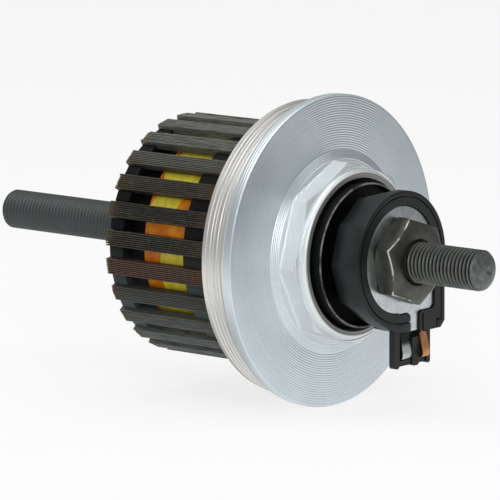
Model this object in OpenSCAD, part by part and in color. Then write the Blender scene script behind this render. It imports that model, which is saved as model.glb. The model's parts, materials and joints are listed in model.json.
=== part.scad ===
// Bicycle hub dynamo: the inner unit that slides into a front hub.
// The axle lies along Y, +Z is up and the two-pole connector hangs down at the -Y end.
// The origin is on the axle's centre line, in the plane where the cap's flange seats on the hub.

/* [Axle] */
// Diameter over the thread crests
axle_d = 8.9; // [8.4:0.1:9.4]
// Length from tip to tip
axle_len = 140; // [125:1:160]
// Length of thread that stands out of the lock nut
axle_out = 19; // [14:0.5:26]
// Pitch of the axle thread
axle_pitch = 1; // [0.8:0.05:1.25]
// Depth of the axle thread
axle_thread_h = 0.5; // [0.35:0.05:0.65]
// Chamfer at each tip
tip_chamfer = 1.1; // [0.5:0.1:1.5]
// Width of the groove that the lead lies in
keyway_w = 1.6; // [1.4:0.1:2.2]
// Depth of the groove that the lead lies in
keyway_depth = 1.5; // [1.4:0.1:1.9]

/* [Lock nut] */
// Distance across the lock nut's flats
nut_flats = 17; // [15:0.5:18]
// Height of the lock nut
nut_h = 5.1; // [4:0.1:7]
// Diameter of the lock nut's front face inside its chamfer
nut_face_d = 15.6; // [13:0.1:16]
// Diameter of the lock nut's rear face inside its chamfer
nut_seat_d = 17.2; // [15:0.1:18]
// Width of the countersink at the lock nut's thread
nut_countersink = 0.7; // [0.3:0.1:1]

/* [Ground plate] */
// Radius of the round side of the ground plate
plate_r = 11.7; // [10.8:0.1:12.4]
// Distance from the axle to the plate's straight side
plate_side = 11.3; // [10.5:0.1:12]
// Distance from the axle down to the plate's lower edge
plate_drop = 11.9; // [11:0.1:12.5]
// Thickness of the ground plate
plate_t = 0.8; // [0.6:0.1:1.2]
// How far the plate lies behind the connector's front edge
plate_inset = 0.4; // [0.2:0.1:0.8]
// Width of the tab that runs down to the terminals
tab_w = 3; // [2:0.1:3.4]
// Place of the tab's centre beside the axle
tab_x = 4.6; // [4.3:0.1:4.8]

/* [Connector] */
// Diameter of the connector sleeve
body_d = 30; // [29:0.1:33]
// Distance from the axle to the sleeve's straight side
body_side = 14.8; // [14.2:0.1:16]
// Distance from the axle down to the sleeve's deep bottom corner
body_drop = 16.5; // [16:0.1:17.5]
// How much less deep the sleeve is left of the tab
bottom_step = 0.6; // [0.3:0.1:0.9]
// Length of the connector sleeve
body_len = 8.2; // [7.6:0.1:10]
// Wall of the connector sleeve
sleeve_wall = 1.05; // [0.8:0.05:1.3]
// Wall under the terminal block at the sleeve's bottom
sleeve_floor = 1.8; // [1.2:0.1:2.2]
// Wall that closes the sleeve's rear
sleeve_back = 1.6; // [1.2:0.1:2]
// Length of the sleeve behind its D-shaped part
facet_len = 3.6; // [2.5:0.1:4.5]
// Distance from the sleeve's rear to where its flats run out
facet_reach = 6.3; // [5:0.1:7.5]
// Number of facets round the sleeve's rear end
facet_n = 10; // [8:1:12]
// Diameter over the facets' corners at the rear
facet_d = 27.8; // [27:0.1:29]
// Width of the fine joint round the terminal block
joint_w = 0.3; // [0.15:0.05:0.4]

/* [Terminals] */
// Left edge of the terminal frame beside the axle
frame_x = -2.1; // [-2.6:0.1:-1.8]
// Width of the terminal frame's left bar
bar_left_w = 1.6; // [1.2:0.1:1.9]
// Width of the ground pocket
pocket_ground_w = 4.4; // [4:0.1:4.6]
// Width of the terminal frame's middle bar
bar_mid_w = 2.3; // [2:0.1:2.5]
// Width of the live pocket
pocket_live_w = 2.5; // [2.2:0.1:3]
// Width of the terminal frame's right bar
bar_right_w = 1.3; // [1:0.1:2]
// How far the terminal frame hangs below the sleeve
frame_drop = 7.3; // [6.5:0.1:9]
// Depth of the terminal frame's bars along the axle
frame_depth = 1.6; // [1.4:0.1:2.2]
// Wall behind the pockets
frame_back = 0.6; // [0.4:0.1:1]
// Height of the cross bar that closes the pockets
cross_bar_h = 1.2; // [0.8:0.1:1.8]
// Thickness of the contact strip
strip_t = 0.3; // [0.2:0.05:0.4]
// Width of the ground contact
ground_w = 2.9; // [2.4:0.1:3.6]
// Width of the live contact
live_w = 2.2; // [1.6:0.1:2.2]
// How far the ground contact bows forwards
ground_bow = 0.9; // [0.5:0.1:1.6]
// How far the live contact bows forwards
live_bow = 1; // [0.4:0.1:1.4]

/* [End cap] */
// Outside diameter of the flange
flange_d = 68.6; // [66:0.2:76]
// Thickness of the flange at its rim
rim_t = 2.6; // [2:0.1:4]
// Chamfer on both edges of the rim
rim_chamfer = 0.4; // [0.2:0.05:0.8]
// How far the dished face rises from rim to pad
face_rise = 0.7; // [0.3:0.1:1.5]
// Diameter of the round pad around the octagon
pad_d = 44.6; // [43:0.2:50]
// Rise of the pad's cone up to the octagon
pad_rise = 1; // [0.4:0.1:1.6]
// Diameter over the threads that screw into the hub
shell_d = 65; // [63:0.2:65.4]
// Length of those threads
shell_len = 7.7; // [6:0.1:10]
// Pitch of those threads
shell_pitch = 1; // [0.8:0.1:2]
// Depth of those threads
shell_thread_h = 0.55; // [0.4:0.05:1]
// Depth of the groove between those threads and the seating face
seat_groove = 0.3; // [0.1:0.05:0.5]
// Wall of the threaded ring
ring_wall = 3; // [2.4:0.1:4]
// Thickness of the cap behind its seating face
web_back = 0.8; // [0.4:0.1:1.6]
// Distance across the octagon's flats
boss_flats = 37.6; // [37.2:0.1:39]
// Height of the octagon
boss_h = 4.2; // [3.5:0.1:5]
// Turned bevel on the octagon's corners
boss_bevel = 0.6; // [0.3:0.1:1]
// Outside diameter of the round collar
collar_d = 36.8; // [36:0.1:37]
// Height of the round collar over the octagon
collar_h = 1.4; // [1:0.1:2]
// Bore at the mouth of the collar
bore_d = 33.5; // [32.6:0.1:34.5]
// Depth of that bore
bore_depth = 4.5; // [4.2:0.1:5]
// Outside diameter of the inner hub that holds the bearing
hub_d = 35; // [33:0.2:38]
// Lip that the bearing cup is pressed against
cup_stop_t = 1.5; // [1:0.1:2]
// Opening in that lip
cup_stop_d = 25; // [23.5:0.1:27]

/* [Bearing] */
// Diameter of a bearing ball
ball_d = 4.76; // [4.4:0.02:4.9]
// Number of balls
ball_n = 10; // [8:1:11]
// Radius of the circle through the balls' centres
ball_ring_r = 10.2; // [10:0.05:10.4]
// Running clearance between a ball and its races
race_gap = 0.07; // [0.03:0.01:0.1]
// Outside diameter of the bearing cup
cup_d = 29; // [28:0.1:31]
// Length of the bearing cup
cup_len = 7.5; // [7:0.1:9]
// Opening at the rear of the bearing cup
cup_hole_d = 22.6; // [20.5:0.1:23.4]
// Distance from the cup's front edge to the balls' centres
ball_inset = 3; // [2.8:0.1:3.4]
// Diameter of the cone's shoulder
cone_d = 18.2; // [17.6:0.1:18.8]
// Diameter of the cone's neck
neck_d = 16.4; // [15:0.1:17]
// Length of the cone in front of the balls' centres
cone_front_len = 7.9; // [7.4:0.1:8.6]
// Length of the cone behind the balls' centres
cone_rear_len = 1.4; // [1:0.1:2.4]
// Section of the retainer ring
retainer_w = 1.4; // [1.2:0.1:1.6]
// Thickness of the retainer ring
retainer_t = 1.1; // [0.9:0.1:1.2]
// Clearance between the retainer ring and the bearing cup
retainer_gap = 0.35; // [0.25:0.05:0.5]

/* [Seals and spacers] */
// Gap between the dust cover and the collar's bore
cover_gap = 0.85; // [0.4:0.05:1.2]
// Thickness of the dust cover's web
cover_t = 0.9; // [0.6:0.1:1.2]
// Wall of the dust cover's skirt
skirt_wall = 0.6; // [0.4:0.05:1.3]
// How far the skirt stands in front of the web
skirt_out = 2.1; // [0.8:0.1:2.4]
// How far the skirt reaches behind the web's front
skirt_in = 2.3; // [1.5:0.1:2.5]
// Thickness of the seal ring
seal_t = 1.5; // [1.2:0.1:1.6]
// Gap between the seal's lip and the cone
seal_gap = 0.3; // [0.2:0.05:0.6]
// Outside diameter of the spacer
spacer_d = 20; // [17.6:0.2:23]
// Thickness of the spacer
spacer_t = 2.4; // [1.8:0.1:3.2]
// Outside diameter of the thrust washer
washer_d = 18; // [16:0.2:22]
// Thickness of the thrust washer
washer_t = 1.2; // [0.8:0.1:1.6]

/* [Stator] */
// Radius of the stator over the corners of its claws
stator_r = 26.8; // [26:0.1:28]
// Length of the stator over its claws
stator_len = 28.7; // [27.5:0.1:33]
// Distance from the seating plane to the stator
stator_y = 11.7; // [10.5:0.1:12.5]
// Number of claws on each side
claw_n = 13; // [11:1:14]
// Place of the first claw, in degrees up from +X
claw_start = 106.5; // [104:0.5:108]
// Width of a claw
claw_w = 3.65; // [3:0.05:3.7]
// Radial thickness of a claw's bar
claw_t = 2; // [1.6:0.1:2.3]
// Thickness of a claw's leg
leg_t = 3.5; // [3.2:0.1:4]
// Number of steel sheets in a claw
sheet_n = 8; // [6:1:10]
// Gap between two sheets at a claw's surface
sheet_gap = 0.08; // [0.04:0.01:0.12]
// Depth of that gap
sheet_groove = 0.15; // [0.08:0.01:0.3]
// Diameter of the core tube
core_d = 19.2; // [18:0.1:20]
// Diameter of the clamp washers
clamp_d = 22; // [20.5:0.1:22.6]
// Thickness of the clamp washers
clamp_t = 1.2; // [0.8:0.1:1.6]
// Distance across the clamp nuts' flats
clamp_nut_flats = 15; // [13:0.5:17]
// Height of the clamp nuts
clamp_nut_h = 4; // [3:0.1:4.4]

/* [Bobbin and coil] */
// Width of the coil
coil_w = 13.3; // [11:0.1:13.8]
// Radius of the coil under its tape
coil_r = 23.5; // [22:0.1:23.8]
// Thickness of the tape
tape_t = 0.4; // [0.2:0.05:0.6]
// Wall of the bobbin's tube
bobbin_wall = 1.4; // [1:0.1:2]
// Width of the bobbin's right flange
flange_right_w = 6; // [5.8:0.1:8.4]
// Width of the low step on the bobbin's left side
step_w = 4.4; // [4:0.1:4.8]
// Radius of that step
step_r = 22.5; // [20:0.1:23]
// How far the bobbin's ends lie inside the claws' ends
finger_inset = 0.6; // [0.4:0.1:1.6]
// How far the bobbin's blocks rise between the claws
finger_h = 1.2; // [0.3:0.1:1.5]
// Clearance between the bobbin and the claws
claw_gap = 0.06; // [0.03:0.01:0.12]

/* [Leads] */
// Diameter of the insulated leads
lead_d = 1.2; // [0.9:0.1:1.2]
// Thickness of the ground tag
tag_t = 0.5; // [0.4:0.1:0.8]
// Diameter of the ground tag's ring
tag_d = 14; // [12:0.2:14.6]
// Width of the ground tag's lug
lug_w = 2; // [1.4:0.1:2.4]
// Reach of the lug from the axle
lug_r = 10.8; // [10:0.1:11]

/* [Hidden] */
axle_r = axle_d / 2;
body_r = body_d / 2;
bore_r = bore_d / 2;
cone_r = cone_d / 2;
neck_r = neck_d / 2;
core_r = core_d / 2;
lead_r = lead_d / 2;
ball_r = ball_d / 2;
race_r = ball_r + race_gap;
round_fn = 96;
small_fn = 48;

// How far two joined shapes run into each other, and how far a cut runs past what it cuts
thin = 0.01;
over = 1;

// Angle of the nuts' corners and slope of their bevels
nut_angle = 40;
nut_bevel = 30;

// Widths of a thread's crest and flank, as shares of its pitch
axle_crest = 0.54;
axle_flank = 0.13;
shell_crest = 0.2;
shell_flank = 0.3;

// Clearance between the thread's crests and the seating face's inner edge
seat_groove_gap = 0.1;

// Planes of the end cap, from the rim's front face to the collar's front face
pad_y = -rim_t - face_rise;
boss_y = pad_y - pad_rise;
boss_top = boss_y - boss_h;
collar_y = boss_top - collar_h;
seal_floor = collar_y + bore_depth;

// Planes of the bearing
cup_lead_in = 0.4;
retainer_share = 0.6;
cup_front = seal_floor + cup_lead_in;
cup_rear = cup_front + cup_len;
ball_y = cup_front + ball_inset;
cone_front = ball_y - cone_front_len;
cone_rear = ball_y + cone_rear_len;
retainer_y = ball_y - race_r * retainer_share;
hub_end = cup_rear + cup_stop_t;

// Planes of the stack in front of the cone
spacer_front = cone_front - spacer_t;
sleeve_rear = spacer_front - washer_t;
block_rear = sleeve_rear - sleeve_back;
body_front = sleeve_rear - body_len;
facet_front = sleeve_rear - facet_len;
corner_wall = 0.6;
corner_rear = facet_front - corner_wall;
plate_front = body_front + plate_inset;
plate_rear = plate_front + plate_t;
nut_front = plate_front - nut_h;
tip_right = nut_front - axle_out;
tip_left = tip_right + axle_len;

// Planes of the stator
stator_end = stator_y + stator_len;
coil_start = stator_y + finger_inset + flange_right_w;
coil_end = coil_start + coil_w;
step_end = coil_end + step_w;
bobbin_end = stator_end - finger_inset;
tag_front = stator_end + clamp_t;
clamp_left_y = tag_front + tag_t;
clamp_right_y = stator_y - clamp_t - clamp_nut_h;

// Radii of the stator
bar_out = sqrt(pow(stator_r, 2) - pow(claw_w / 2, 2));
bar_in = bar_out - claw_t;
flange_r = bar_in - claw_gap;
finger_r = flange_r + finger_h;
claw_step = 360 / claw_n;

// The terminal frame across the connector, from its left bar to its right bar
pocket_ground_x = frame_x + bar_left_w;
bar_mid_x = pocket_ground_x + pocket_ground_w;
pocket_live_x = bar_mid_x + bar_mid_w;
bar_right_x = pocket_live_x + pocket_live_w;
frame_end_x = bar_right_x + bar_right_w;
frame_recess = 0.2;
frame_front = body_front + frame_recess;
frame_rear = frame_front + frame_depth;
frame_bottom = -body_drop - frame_drop;
cross_bar_lift = 0.4;
cross_bar_recess = 0.3;
cross_bar_z = frame_bottom + cross_bar_lift;
foot_r = 0.7;
block_gap = 0.1;
facet_angle = 1;
slope_end = -4;
block_core_r = facet_d / 2 * cos(180 / facet_n) - sleeve_wall;

// Radius over the facets' corners at a depth from the sleeve's rear
function facet_r(depth) =
    facet_d / 2 + (body_r / cos(180 / facet_n) - facet_d / 2) * depth / facet_reach;

// The tongue of the terminal block that shows in the sleeve's open bottom
tongue_x = tab_x - tab_w / 2;
tongue_margin = 2.6;
tongue_end = body_side - tongue_margin;
corner_cut = 1.4;

// The ground contact behind the tab and the live contact's stem beside it
side_gap = 0.15;
head_h = 2.6;
contact_y = plate_rear;
contact_top = -body_drop + head_h;
contact_bottom = cross_bar_z + cross_bar_h + side_gap;
leaf_top = bottom_step - body_drop - side_gap;
leaf_bend = -body_drop - over;
ground_x = bar_mid_x - side_gap - ground_w;
live_x = pocket_live_x + side_gap;
stem_w = 0.6;
stem_x = 6.8;
stem_y = body_front + side_gap;
stem_foot = 0.2;
tail_z = -12.9;
tail_end = corner_rear - 1.7;
slot_gap = 0.1;
tab_inset = 0.4;
tab_bottom = -body_drop + tab_inset;

// The lead's room in the terminal block, seen from the front
channel = [[-1, -3.5], [1, -3.5], [1, -8.2], [8.1, -11.7], [8.1, -13.6], [6, -13.6], [-1, -9.8]];
lead_y = corner_rear - 0.7;
channel_y = lead_y - 1.6;

// Route of the live lead, from the coil through the keyway to the live contact
keyway_end = 17.8;
keyway_start = lead_y - 0.8;
lead_room = 0.4;
slot_w = lead_d + lead_room;
live_route = [
    [0, coil_start, -12], [0, coil_start - 0.7, -12], [0, 17, -11.2], [0, 17, -5],
    [0, 16, -3.7], [0, lead_y + 1, -3.7],
    [0, lead_y, -4.7], [0, lead_y, -8], [1, lead_y, -9.4], [6.2, lead_y, -12.3],
    [7.1, lead_y - 0.4, -12.75], [7.1, tail_end, -12.75]
];
// Route of the ground lead along its own radius, from the coil to the tag
ground_turn = claw_start - claw_step / 2;
ground_route = [[12, coil_end, 0], [12, 41.4, 0], [11.8, 42, 0], [11.4, 42.25, 0], [10.8, 42.3, 0]];
lead_sides = 8;
lead_up = [0.5, 0.6, 0.62];

// Name of a claw, such as left_claw_01
function claw_name(side, i) = str(side, "_claw_", i < 10 ? "0" : "", i);

// Turns a profile of [radius, place along the axle] points about the axle
module revolve(points, fn = round_fn) {
    rotate([-90, 0, 0])
        rotate_extrude($fn = fn)
            polygon(points);
}

// A plain ring about the axle
module ring(inner, outer, y0, y1, fn = round_fn) {
    revolve([[inner, y0], [outer, y0], [outer, y1], [inner, y1]], fn);
}

// A round rod along the axle's line
module rod(r, y0, y1, fn = round_fn) {
    translate([0, y1, 0])
        rotate([90, 0, 0])
            cylinder(r = r, h = y1 - y0, $fn = fn);
}

// Stretches a flat shape, drawn as seen from the front, between two places along the axle
module slab(y0, y1) {
    translate([0, y1, 0])
        rotate([90, 0, 0])
            linear_extrude(y1 - y0)
                children();
}

// Stretches a side view, drawn as [place along the axle, height], across X
module strip(x0, x1) {
    translate([x0, 0, 0])
        rotate([90, 0, 90])
            linear_extrude(x1 - x0)
                children();
}

// Turns a piece that is built along +X up to an angle about the axle
module turned(angle) {
    rotate([0, -angle, 0])
        children();
}

// Number of whole turns of a thread between two places
function turns(y0, y1, pitch) = floor((y1 - y0) / pitch + thin);

// Points of a thread from one place on: crest, flank, root and flank of each turn.
// The widths of a crest and of a flank are shares of the pitch.
function thread_points(r, y0, y1, pitch, depth, crest, flank) = [
    for (i = [0:turns(y0, y1, pitch) - 1])
        each [
            [r, y0 + i * pitch],
            [r, y0 + (i + crest) * pitch],
            [r - depth, y0 + (i + crest + flank) * pitch],
            [r - depth, y0 + (i + 1 - flank) * pitch]
        ]
];

function unit(v) = v / norm(v);

// Direction of a route at one of its points
function heading(p, i) =
    i == 0 ? unit(p[1] - p[0]) :
    i == len(p) - 1 ? unit(p[i] - p[i - 1]) :
    unit(unit(p[i + 1] - p[i]) + unit(p[i] - p[i - 1]));

// Ring of points round a route at one of its points
function lead_ring(p, i) =
    let (t = heading(p, i), u = unit(cross(lead_up, t)), v = cross(t, u))
    [for (k = [0:lead_sides - 1]) let (a = 360 * k / lead_sides)
        p[i] + lead_r * (cos(a) * u + sin(a) * v)];

// An insulated lead along a route, as one closed tube with flat ends
module lead(p) {
    n = lead_sides;
    last = (len(p) - 1) * n;
    sides = [for (i = [0:len(p) - 2], k = [0:n - 1]) each [
        [i * n + k, i * n + (k + 1) % n, (i + 1) * n + k],
        [i * n + (k + 1) % n, (i + 1) * n + (k + 1) % n, (i + 1) * n + k]
    ]];
    polyhedron(
        points = [for (i = [0:len(p) - 1]) each lead_ring(p, i)],
        faces = concat(
            sides,
            [[for (k = [0:n - 1]) n - 1 - k]],
            [[for (k = [0:n - 1]) last + k]]
        )
    );
}

// A nut's hexagon
module hexagon(flats) {
    rotate(nut_angle)
        circle(r = flats / sqrt(3), $fn = 6);
}

// A nut about the axle, turned to a bevel at both faces
module nut(flats, y0, y1, face_d, seat_d, countersink) {
    corner_r = flats / sqrt(3);
    front = (corner_r - face_d / 2) * tan(nut_bevel);
    rear = (corner_r - seat_d / 2) * tan(nut_bevel);
    difference() {
        intersection() {
            slab(y0, y1)
                hexagon(flats);
            revolve([
                [0, y0], [face_d / 2, y0], [corner_r, y0 + front],
                [corner_r, y1 - rear], [seat_d / 2, y1], [0, y1]
            ]);
        }
        rod(axle_r, y0 - over, y1 + over);
        revolve([
            [0, y0 - thin], [axle_r + countersink, y0 - thin],
            [axle_r, y0 + countersink], [0, y0 + countersink]
        ]);
    }
}

// Outline of the connector: round, with a straight side and a deep bottom corner
module connector_outline(r, side, drop, cut) {
    shallow = bottom_step - drop;
    flat_end = -0.6;
    slope_rise = 1;
    blend_angle = 236;
    circle(r = r, $fn = round_fn);
    polygon([
        [0, 0], [side, 0], [side, cut - drop], [side - cut, -drop], [tab_x, -drop],
        [tab_x, shallow], [flat_end, shallow], [slope_end, shallow + slope_rise],
        [r * cos(blend_angle), r * sin(blend_angle)]
    ]);
}

// Outline of the terminal block's main body inside the sleeve
module block_outline(gap) {
    connector_outline(
        body_r - sleeve_wall - gap, body_side - sleeve_wall - gap,
        body_drop - sleeve_floor - gap, thin
    );
}

// Outline of the ground plate without its tab
module plate_outline(gap) {
    corner = 1.2;
    left = -0.5;
    circle(r = plate_r + gap, $fn = round_fn);
    difference() {
        translate([left, -plate_drop - gap])
            square([plate_side + gap - left, plate_drop + gap]);
        translate([plate_side + gap - corner, -plate_drop - gap - thin])
            square([corner + thin, corner + thin]);
    }
    translate([plate_side + gap - corner, -plate_drop - gap + corner])
        circle(r = corner, $fn = small_fn);
}

// Outline of the tab, down to the given place, with a fillet on each side of its root
module tab_outline(gap, bottom) {
    fillet = 0.9;
    left = tab_x - tab_w / 2 - gap;
    width = tab_w + 2 * gap;
    translate([left, bottom])
        square([width, over - bottom - plate_drop]);
    difference() {
        translate([left - fillet, -plate_drop - gap - fillet])
            square([width + 2 * fillet, fillet + gap + thin]);
        for (x = [left - fillet, left + width + fillet])
            translate([x, -plate_drop - gap - fillet])
                circle(r = fillet, $fn = small_fn);
    }
}

// Threaded axle with the groove for the lead and a centre mark in each tip
module axle() {
    end_r = axle_r - tip_chamfer;
    root_r = axle_r - axle_thread_h;
    undercut = 0.8;
    clamp_rear = clamp_left_y + clamp_nut_h;
    thread_end = tip_left - tip_chamfer;
    mark_r = 0.9;
    color("dimgray")
        difference() {
            revolve(concat(
                [[0, tip_right], [end_r, tip_right]],
                thread_points(axle_r, tip_right + tip_chamfer, nut_front,
                    axle_pitch, axle_thread_h, axle_crest, axle_flank),
                [
                    [root_r, nut_front], [root_r, nut_front + undercut],
                    [axle_r, nut_front + undercut], [axle_r, clamp_rear - undercut],
                    [root_r, clamp_rear - undercut], [root_r, clamp_rear]
                ],
                thread_points(axle_r, clamp_rear, thread_end,
                    axle_pitch, axle_thread_h, axle_crest, axle_flank),
                [[axle_r, thread_end], [end_r, tip_left], [0, tip_left]]
            ));
            slab(keyway_start, keyway_end)
                translate([-keyway_w / 2, -axle_r - over])
                    square([keyway_w, keyway_depth + over]);
            for (end = [[tip_right, 1], [tip_left, -1]])
                revolve([
                    [0, end[0] - end[1] * thin], [mark_r, end[0] - end[1] * thin],
                    [0, end[0] + end[1] * mark_r]
                ], small_fn);
        }
}

// Nut that clamps the connector and the cone
module lock_nut() {
    color([0.32, 0.31, 0.28])
        nut(nut_flats, nut_front, plate_front, nut_face_d, nut_seat_d, nut_countersink);
}

// D-shaped plate under the lock nut, with the tab that grounds the lamp
module ground_plate() {
    color([0.78, 0.8, 0.82])
        difference() {
            slab(plate_front, plate_rear) {
                plate_outline(0);
                tab_outline(0, tab_bottom);
            }
            rod(axle_r, plate_front - over, plate_rear + over);
        }
}

// The terminal block's tongue, which closes the open bottom of the sleeve
module tongue_outline(gap) {
    translate([tongue_x, -body_drop])
        square([tongue_end - tongue_x - gap, sleeve_floor + over]);
}

// One contact pocket in the terminal frame, open at the front
module pocket(x, w) {
    slab(frame_front - over, frame_rear - frame_back)
        translate([x, cross_bar_z + cross_bar_h])
            square([w, -body_drop - cross_bar_z - cross_bar_h]);
}

// One upright bar of the terminal frame with a rounded foot
module frame_bar(x, w) {
    foot = min(foot_r, w / 2);
    slab(frame_front, frame_rear) {
        translate([x, frame_bottom + foot])
            square([w, -body_drop - frame_bottom - foot]);
        translate([x + foot, frame_bottom])
            square([w - 2 * foot + thin, foot + thin]);
        for (side = [x + foot, x + w - foot])
            translate([side, frame_bottom + foot])
                circle(r = foot, $fn = small_fn);
    }
}

// Moulded block inside the sleeve, with the frame that takes the lamp's plug
module terminal_block() {
    color([0.17, 0.18, 0.19])
        difference() {
            union() {
                slab(body_front + joint_w * 2, corner_rear)
                    block_outline(0);
                rod(block_core_r, corner_rear - thin, block_rear);
                slab(body_front, body_front + joint_w * 2 + thin)
                    block_outline(joint_w);
                slab(body_front + joint_w * 2, corner_rear)
                    tongue_outline(0);
                slab(body_front, body_front + joint_w * 2 + thin)
                    tongue_outline(joint_w);
                frame_bar(frame_x, bar_left_w);
                frame_bar(bar_mid_x, bar_mid_w);
                frame_bar(bar_right_x, bar_right_w);
                slab(frame_front + cross_bar_recess, frame_rear)
                    translate([frame_x + foot_r, cross_bar_z])
                        square([frame_end_x - frame_x - 2 * foot_r, -body_drop - cross_bar_z]);
            }
            rod(axle_r, body_front - over, block_rear + over);
            pocket(pocket_ground_x, pocket_ground_w);
            pocket(pocket_live_x, pocket_live_w);
            slab(body_front - over, plate_rear) {
                plate_outline(block_gap);
                tab_outline(block_gap, -body_drop - over);
            }
            ground_contact_room();
            live_contact_room();
            slab(channel_y, block_rear + over)
                polygon(channel);
        }
}

// Room for the ground contact's head behind the tab and for its leaf in the left pocket
module ground_contact_room() {
    slab(contact_y - thin, contact_y + strip_t + slot_gap) {
        translate([tongue_x - slot_gap, leaf_bend])
            square([tab_w + 2 * slot_gap, contact_top + slot_gap - leaf_bend]);
        translate([ground_x - slot_gap, leaf_bend])
            square([ground_w + 2 * slot_gap, leaf_top + slot_gap - leaf_bend]);
    }
}

// Room for the live contact's stem and tail
module live_contact_room() {
    slab(body_front - over, stem_y + strip_t + slot_gap)
        translate([stem_x - slot_gap, -body_drop - over])
            square([stem_w + 2 * slot_gap, tail_z + strip_t + slot_gap + body_drop + over]);
    slab(stem_y, tail_end + over)
        translate([stem_x - slot_gap, tail_z - slot_gap])
            square([stem_w + 2 * slot_gap, strip_t + 2 * slot_gap]);
}

// Flats that taper the sleeve towards its rear
module facet_taper() {
    translate([0, sleeve_rear + over, 0])
        rotate([90, 0, 0])
            rotate(facet_angle)
                cylinder(
                    r1 = facet_r(-over), r2 = facet_r(body_len + over),
                    h = body_len + 2 * over, $fn = facet_n
                );
}

// Sleeve that closes the connector at the outside and the rear
module connector_sleeve() {
    color([0.2, 0.21, 0.22])
        difference() {
            intersection() {
                union() {
                    slab(body_front, facet_front)
                        connector_outline(body_r, body_side, body_drop, corner_cut);
                    rod(body_r, facet_front - thin, sleeve_rear);
                }
                union() {
                    facet_taper();
                    slab(body_front - over, facet_front)
                        translate([slope_end, -body_drop - over])
                            square([body_side + over - slope_end, body_drop + over]);
                }
            }
            rod(axle_r, body_front - over, sleeve_rear + over);
            slab(body_front - over, corner_rear)
                block_outline(0);
            rod(block_core_r, corner_rear - over, block_rear);
            slab(body_front - over, corner_rear)
                translate([tongue_x, -body_drop - over])
                    square([tongue_end - tongue_x, sleeve_floor + 2 * over]);
        }
}

// Side view of a contact: straight at the top, bowed forwards, its end turned back
function bowed(y, top, bottom, bow) =
    let (h = top - bottom)
    [for (p = [[0, 0], [0.25, 0.2], [0.6, 0.45], [0.9, 0.68], [1, 0.82], [0.9, 0.92], [0.6, 1]])
        [y - p[0] * bow, top - p[1] * h]];

// A bent strip of even thickness along a side view
module bent_strip(points, x0, x1) {
    n = len(points);
    strip(x0, x1)
        polygon(concat(
            points,
            [for (i = [n - 1:-1:0]) points[i] + [strip_t, 0]]
        ));
}

// Sprung contact that joins the ground plate's tab to the left pocket
module ground_contact() {
    color([0.75, 0.76, 0.77]) {
        slab(contact_y, contact_y + strip_t)
            translate([tongue_x, leaf_top - strip_t])
                square([tab_w, contact_top - leaf_top + strip_t]);
        bent_strip(bowed(contact_y, leaf_top, contact_bottom, ground_bow),
            ground_x, ground_x + ground_w);
    }
}

// Sprung contact of the live pole, with its stem up the block's face and its tail inside
module live_contact() {
    color([0.85, 0.5, 0.25]) {
        bent_strip(bowed(stem_y, -body_drop - stem_foot, contact_bottom, live_bow),
            live_x, live_x + live_w);
        slab(stem_y, stem_y + strip_t)
            translate([stem_x, -body_drop - 2 * stem_foot])
                square([stem_w, tail_z + strip_t + body_drop + 2 * stem_foot]);
        slab(stem_y, tail_end)
            translate([stem_x, tail_z])
                square([stem_w, strip_t]);
    }
}

// Steel washer between the connector and the spacer
module thrust_washer() {
    color("darkgray")
        ring(axle_r, washer_d / 2, sleeve_rear, spacer_front);
}

// Spacer that holds the dust cover against the cone
module spacer() {
    color([0.12, 0.12, 0.13])
        ring(axle_r, spacer_d / 2, spacer_front, cone_front);
}

// Hardened cone that the balls run on
module bearing_cone() {
    color("silver")
        difference() {
            revolve([
                [axle_r, cone_front], [neck_r, cone_front], [neck_r, cone_front + cover_t],
                [cone_r, cone_front + cover_t], [cone_r, ball_y],
                [ball_ring_r - race_r, ball_y], [ball_ring_r - race_r, cone_rear],
                [axle_r, cone_rear]
            ]);
            race();
        }
}

// The round track of the balls, with its running clearance
module race() {
    rotate([-90, 0, 0])
        rotate_extrude($fn = round_fn)
            translate([ball_ring_r, ball_y])
                circle(r = race_r, $fn = small_fn);
}

// Black cover that runs in the collar's bore and keeps dirt out
module dust_cover() {
    outer = bore_r - cover_gap;
    inner = outer - skirt_wall;
    edge = 0.25;
    color([0.08, 0.08, 0.08])
        revolve([
            [neck_r, cone_front], [inner, cone_front], [inner, cone_front - skirt_out],
            [outer - edge, cone_front - skirt_out], [outer, cone_front - skirt_out + edge],
            [outer, cone_front + skirt_in], [inner, cone_front + skirt_in],
            [inner, cone_front + cover_t], [neck_r, cone_front + cover_t]
        ]);
}

// Rubber seal pressed into the collar's bore, with its lip round the cone
module seal_ring() {
    lip_w = 1.6;
    lip_t = 0.6;
    lip_r = cone_r + seal_gap;
    front = seal_floor - seal_t;
    color([0.05, 0.05, 0.05])
        revolve([
            [lip_r, front], [lip_r + lip_w, front + lip_t / 2], [bore_r, front],
            [bore_r, seal_floor], [lip_r + lip_w, seal_floor], [lip_r, front + lip_t]
        ]);
}

// Places a child at every ball
module at_balls() {
    for (i = [0:ball_n - 1])
        turned(i * 360 / ball_n)
            translate([ball_ring_r, ball_y, 0])
                children();
}

// The bearing's loose balls
module bearing_balls() {
    color("gainsboro")
        at_balls()
            sphere(r = ball_r, $fn = small_fn);
}

// Ring that keeps the balls apart
module ball_retainer() {
    outer = ball_ring_r + race_r - retainer_gap;
    color("goldenrod")
        difference() {
            ring(outer - retainer_w, outer, retainer_y - retainer_t, retainer_y);
            at_balls()
                sphere(r = race_r, $fn = small_fn);
        }
}

// Bearing cup pressed into the end cap
module bearing_cup() {
    color("lightgray")
        difference() {
            revolve([
                [ball_ring_r + race_r, cup_front], [cup_d / 2, cup_front],
                [cup_d / 2, cup_rear], [cup_hole_d / 2, cup_rear],
                [cup_hole_d / 2, ball_y], [ball_ring_r + race_r, ball_y]
            ]);
            race();
        }
}

// Radius at the corners of an octagon
function octagon_r(flats) = flats / 2 / cos(180 / 8);

// Octagon of the spanner boss
module octagon(flats, angle) {
    rotate(angle)
        circle(r = octagon_r(flats), $fn = 8);
}

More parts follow.
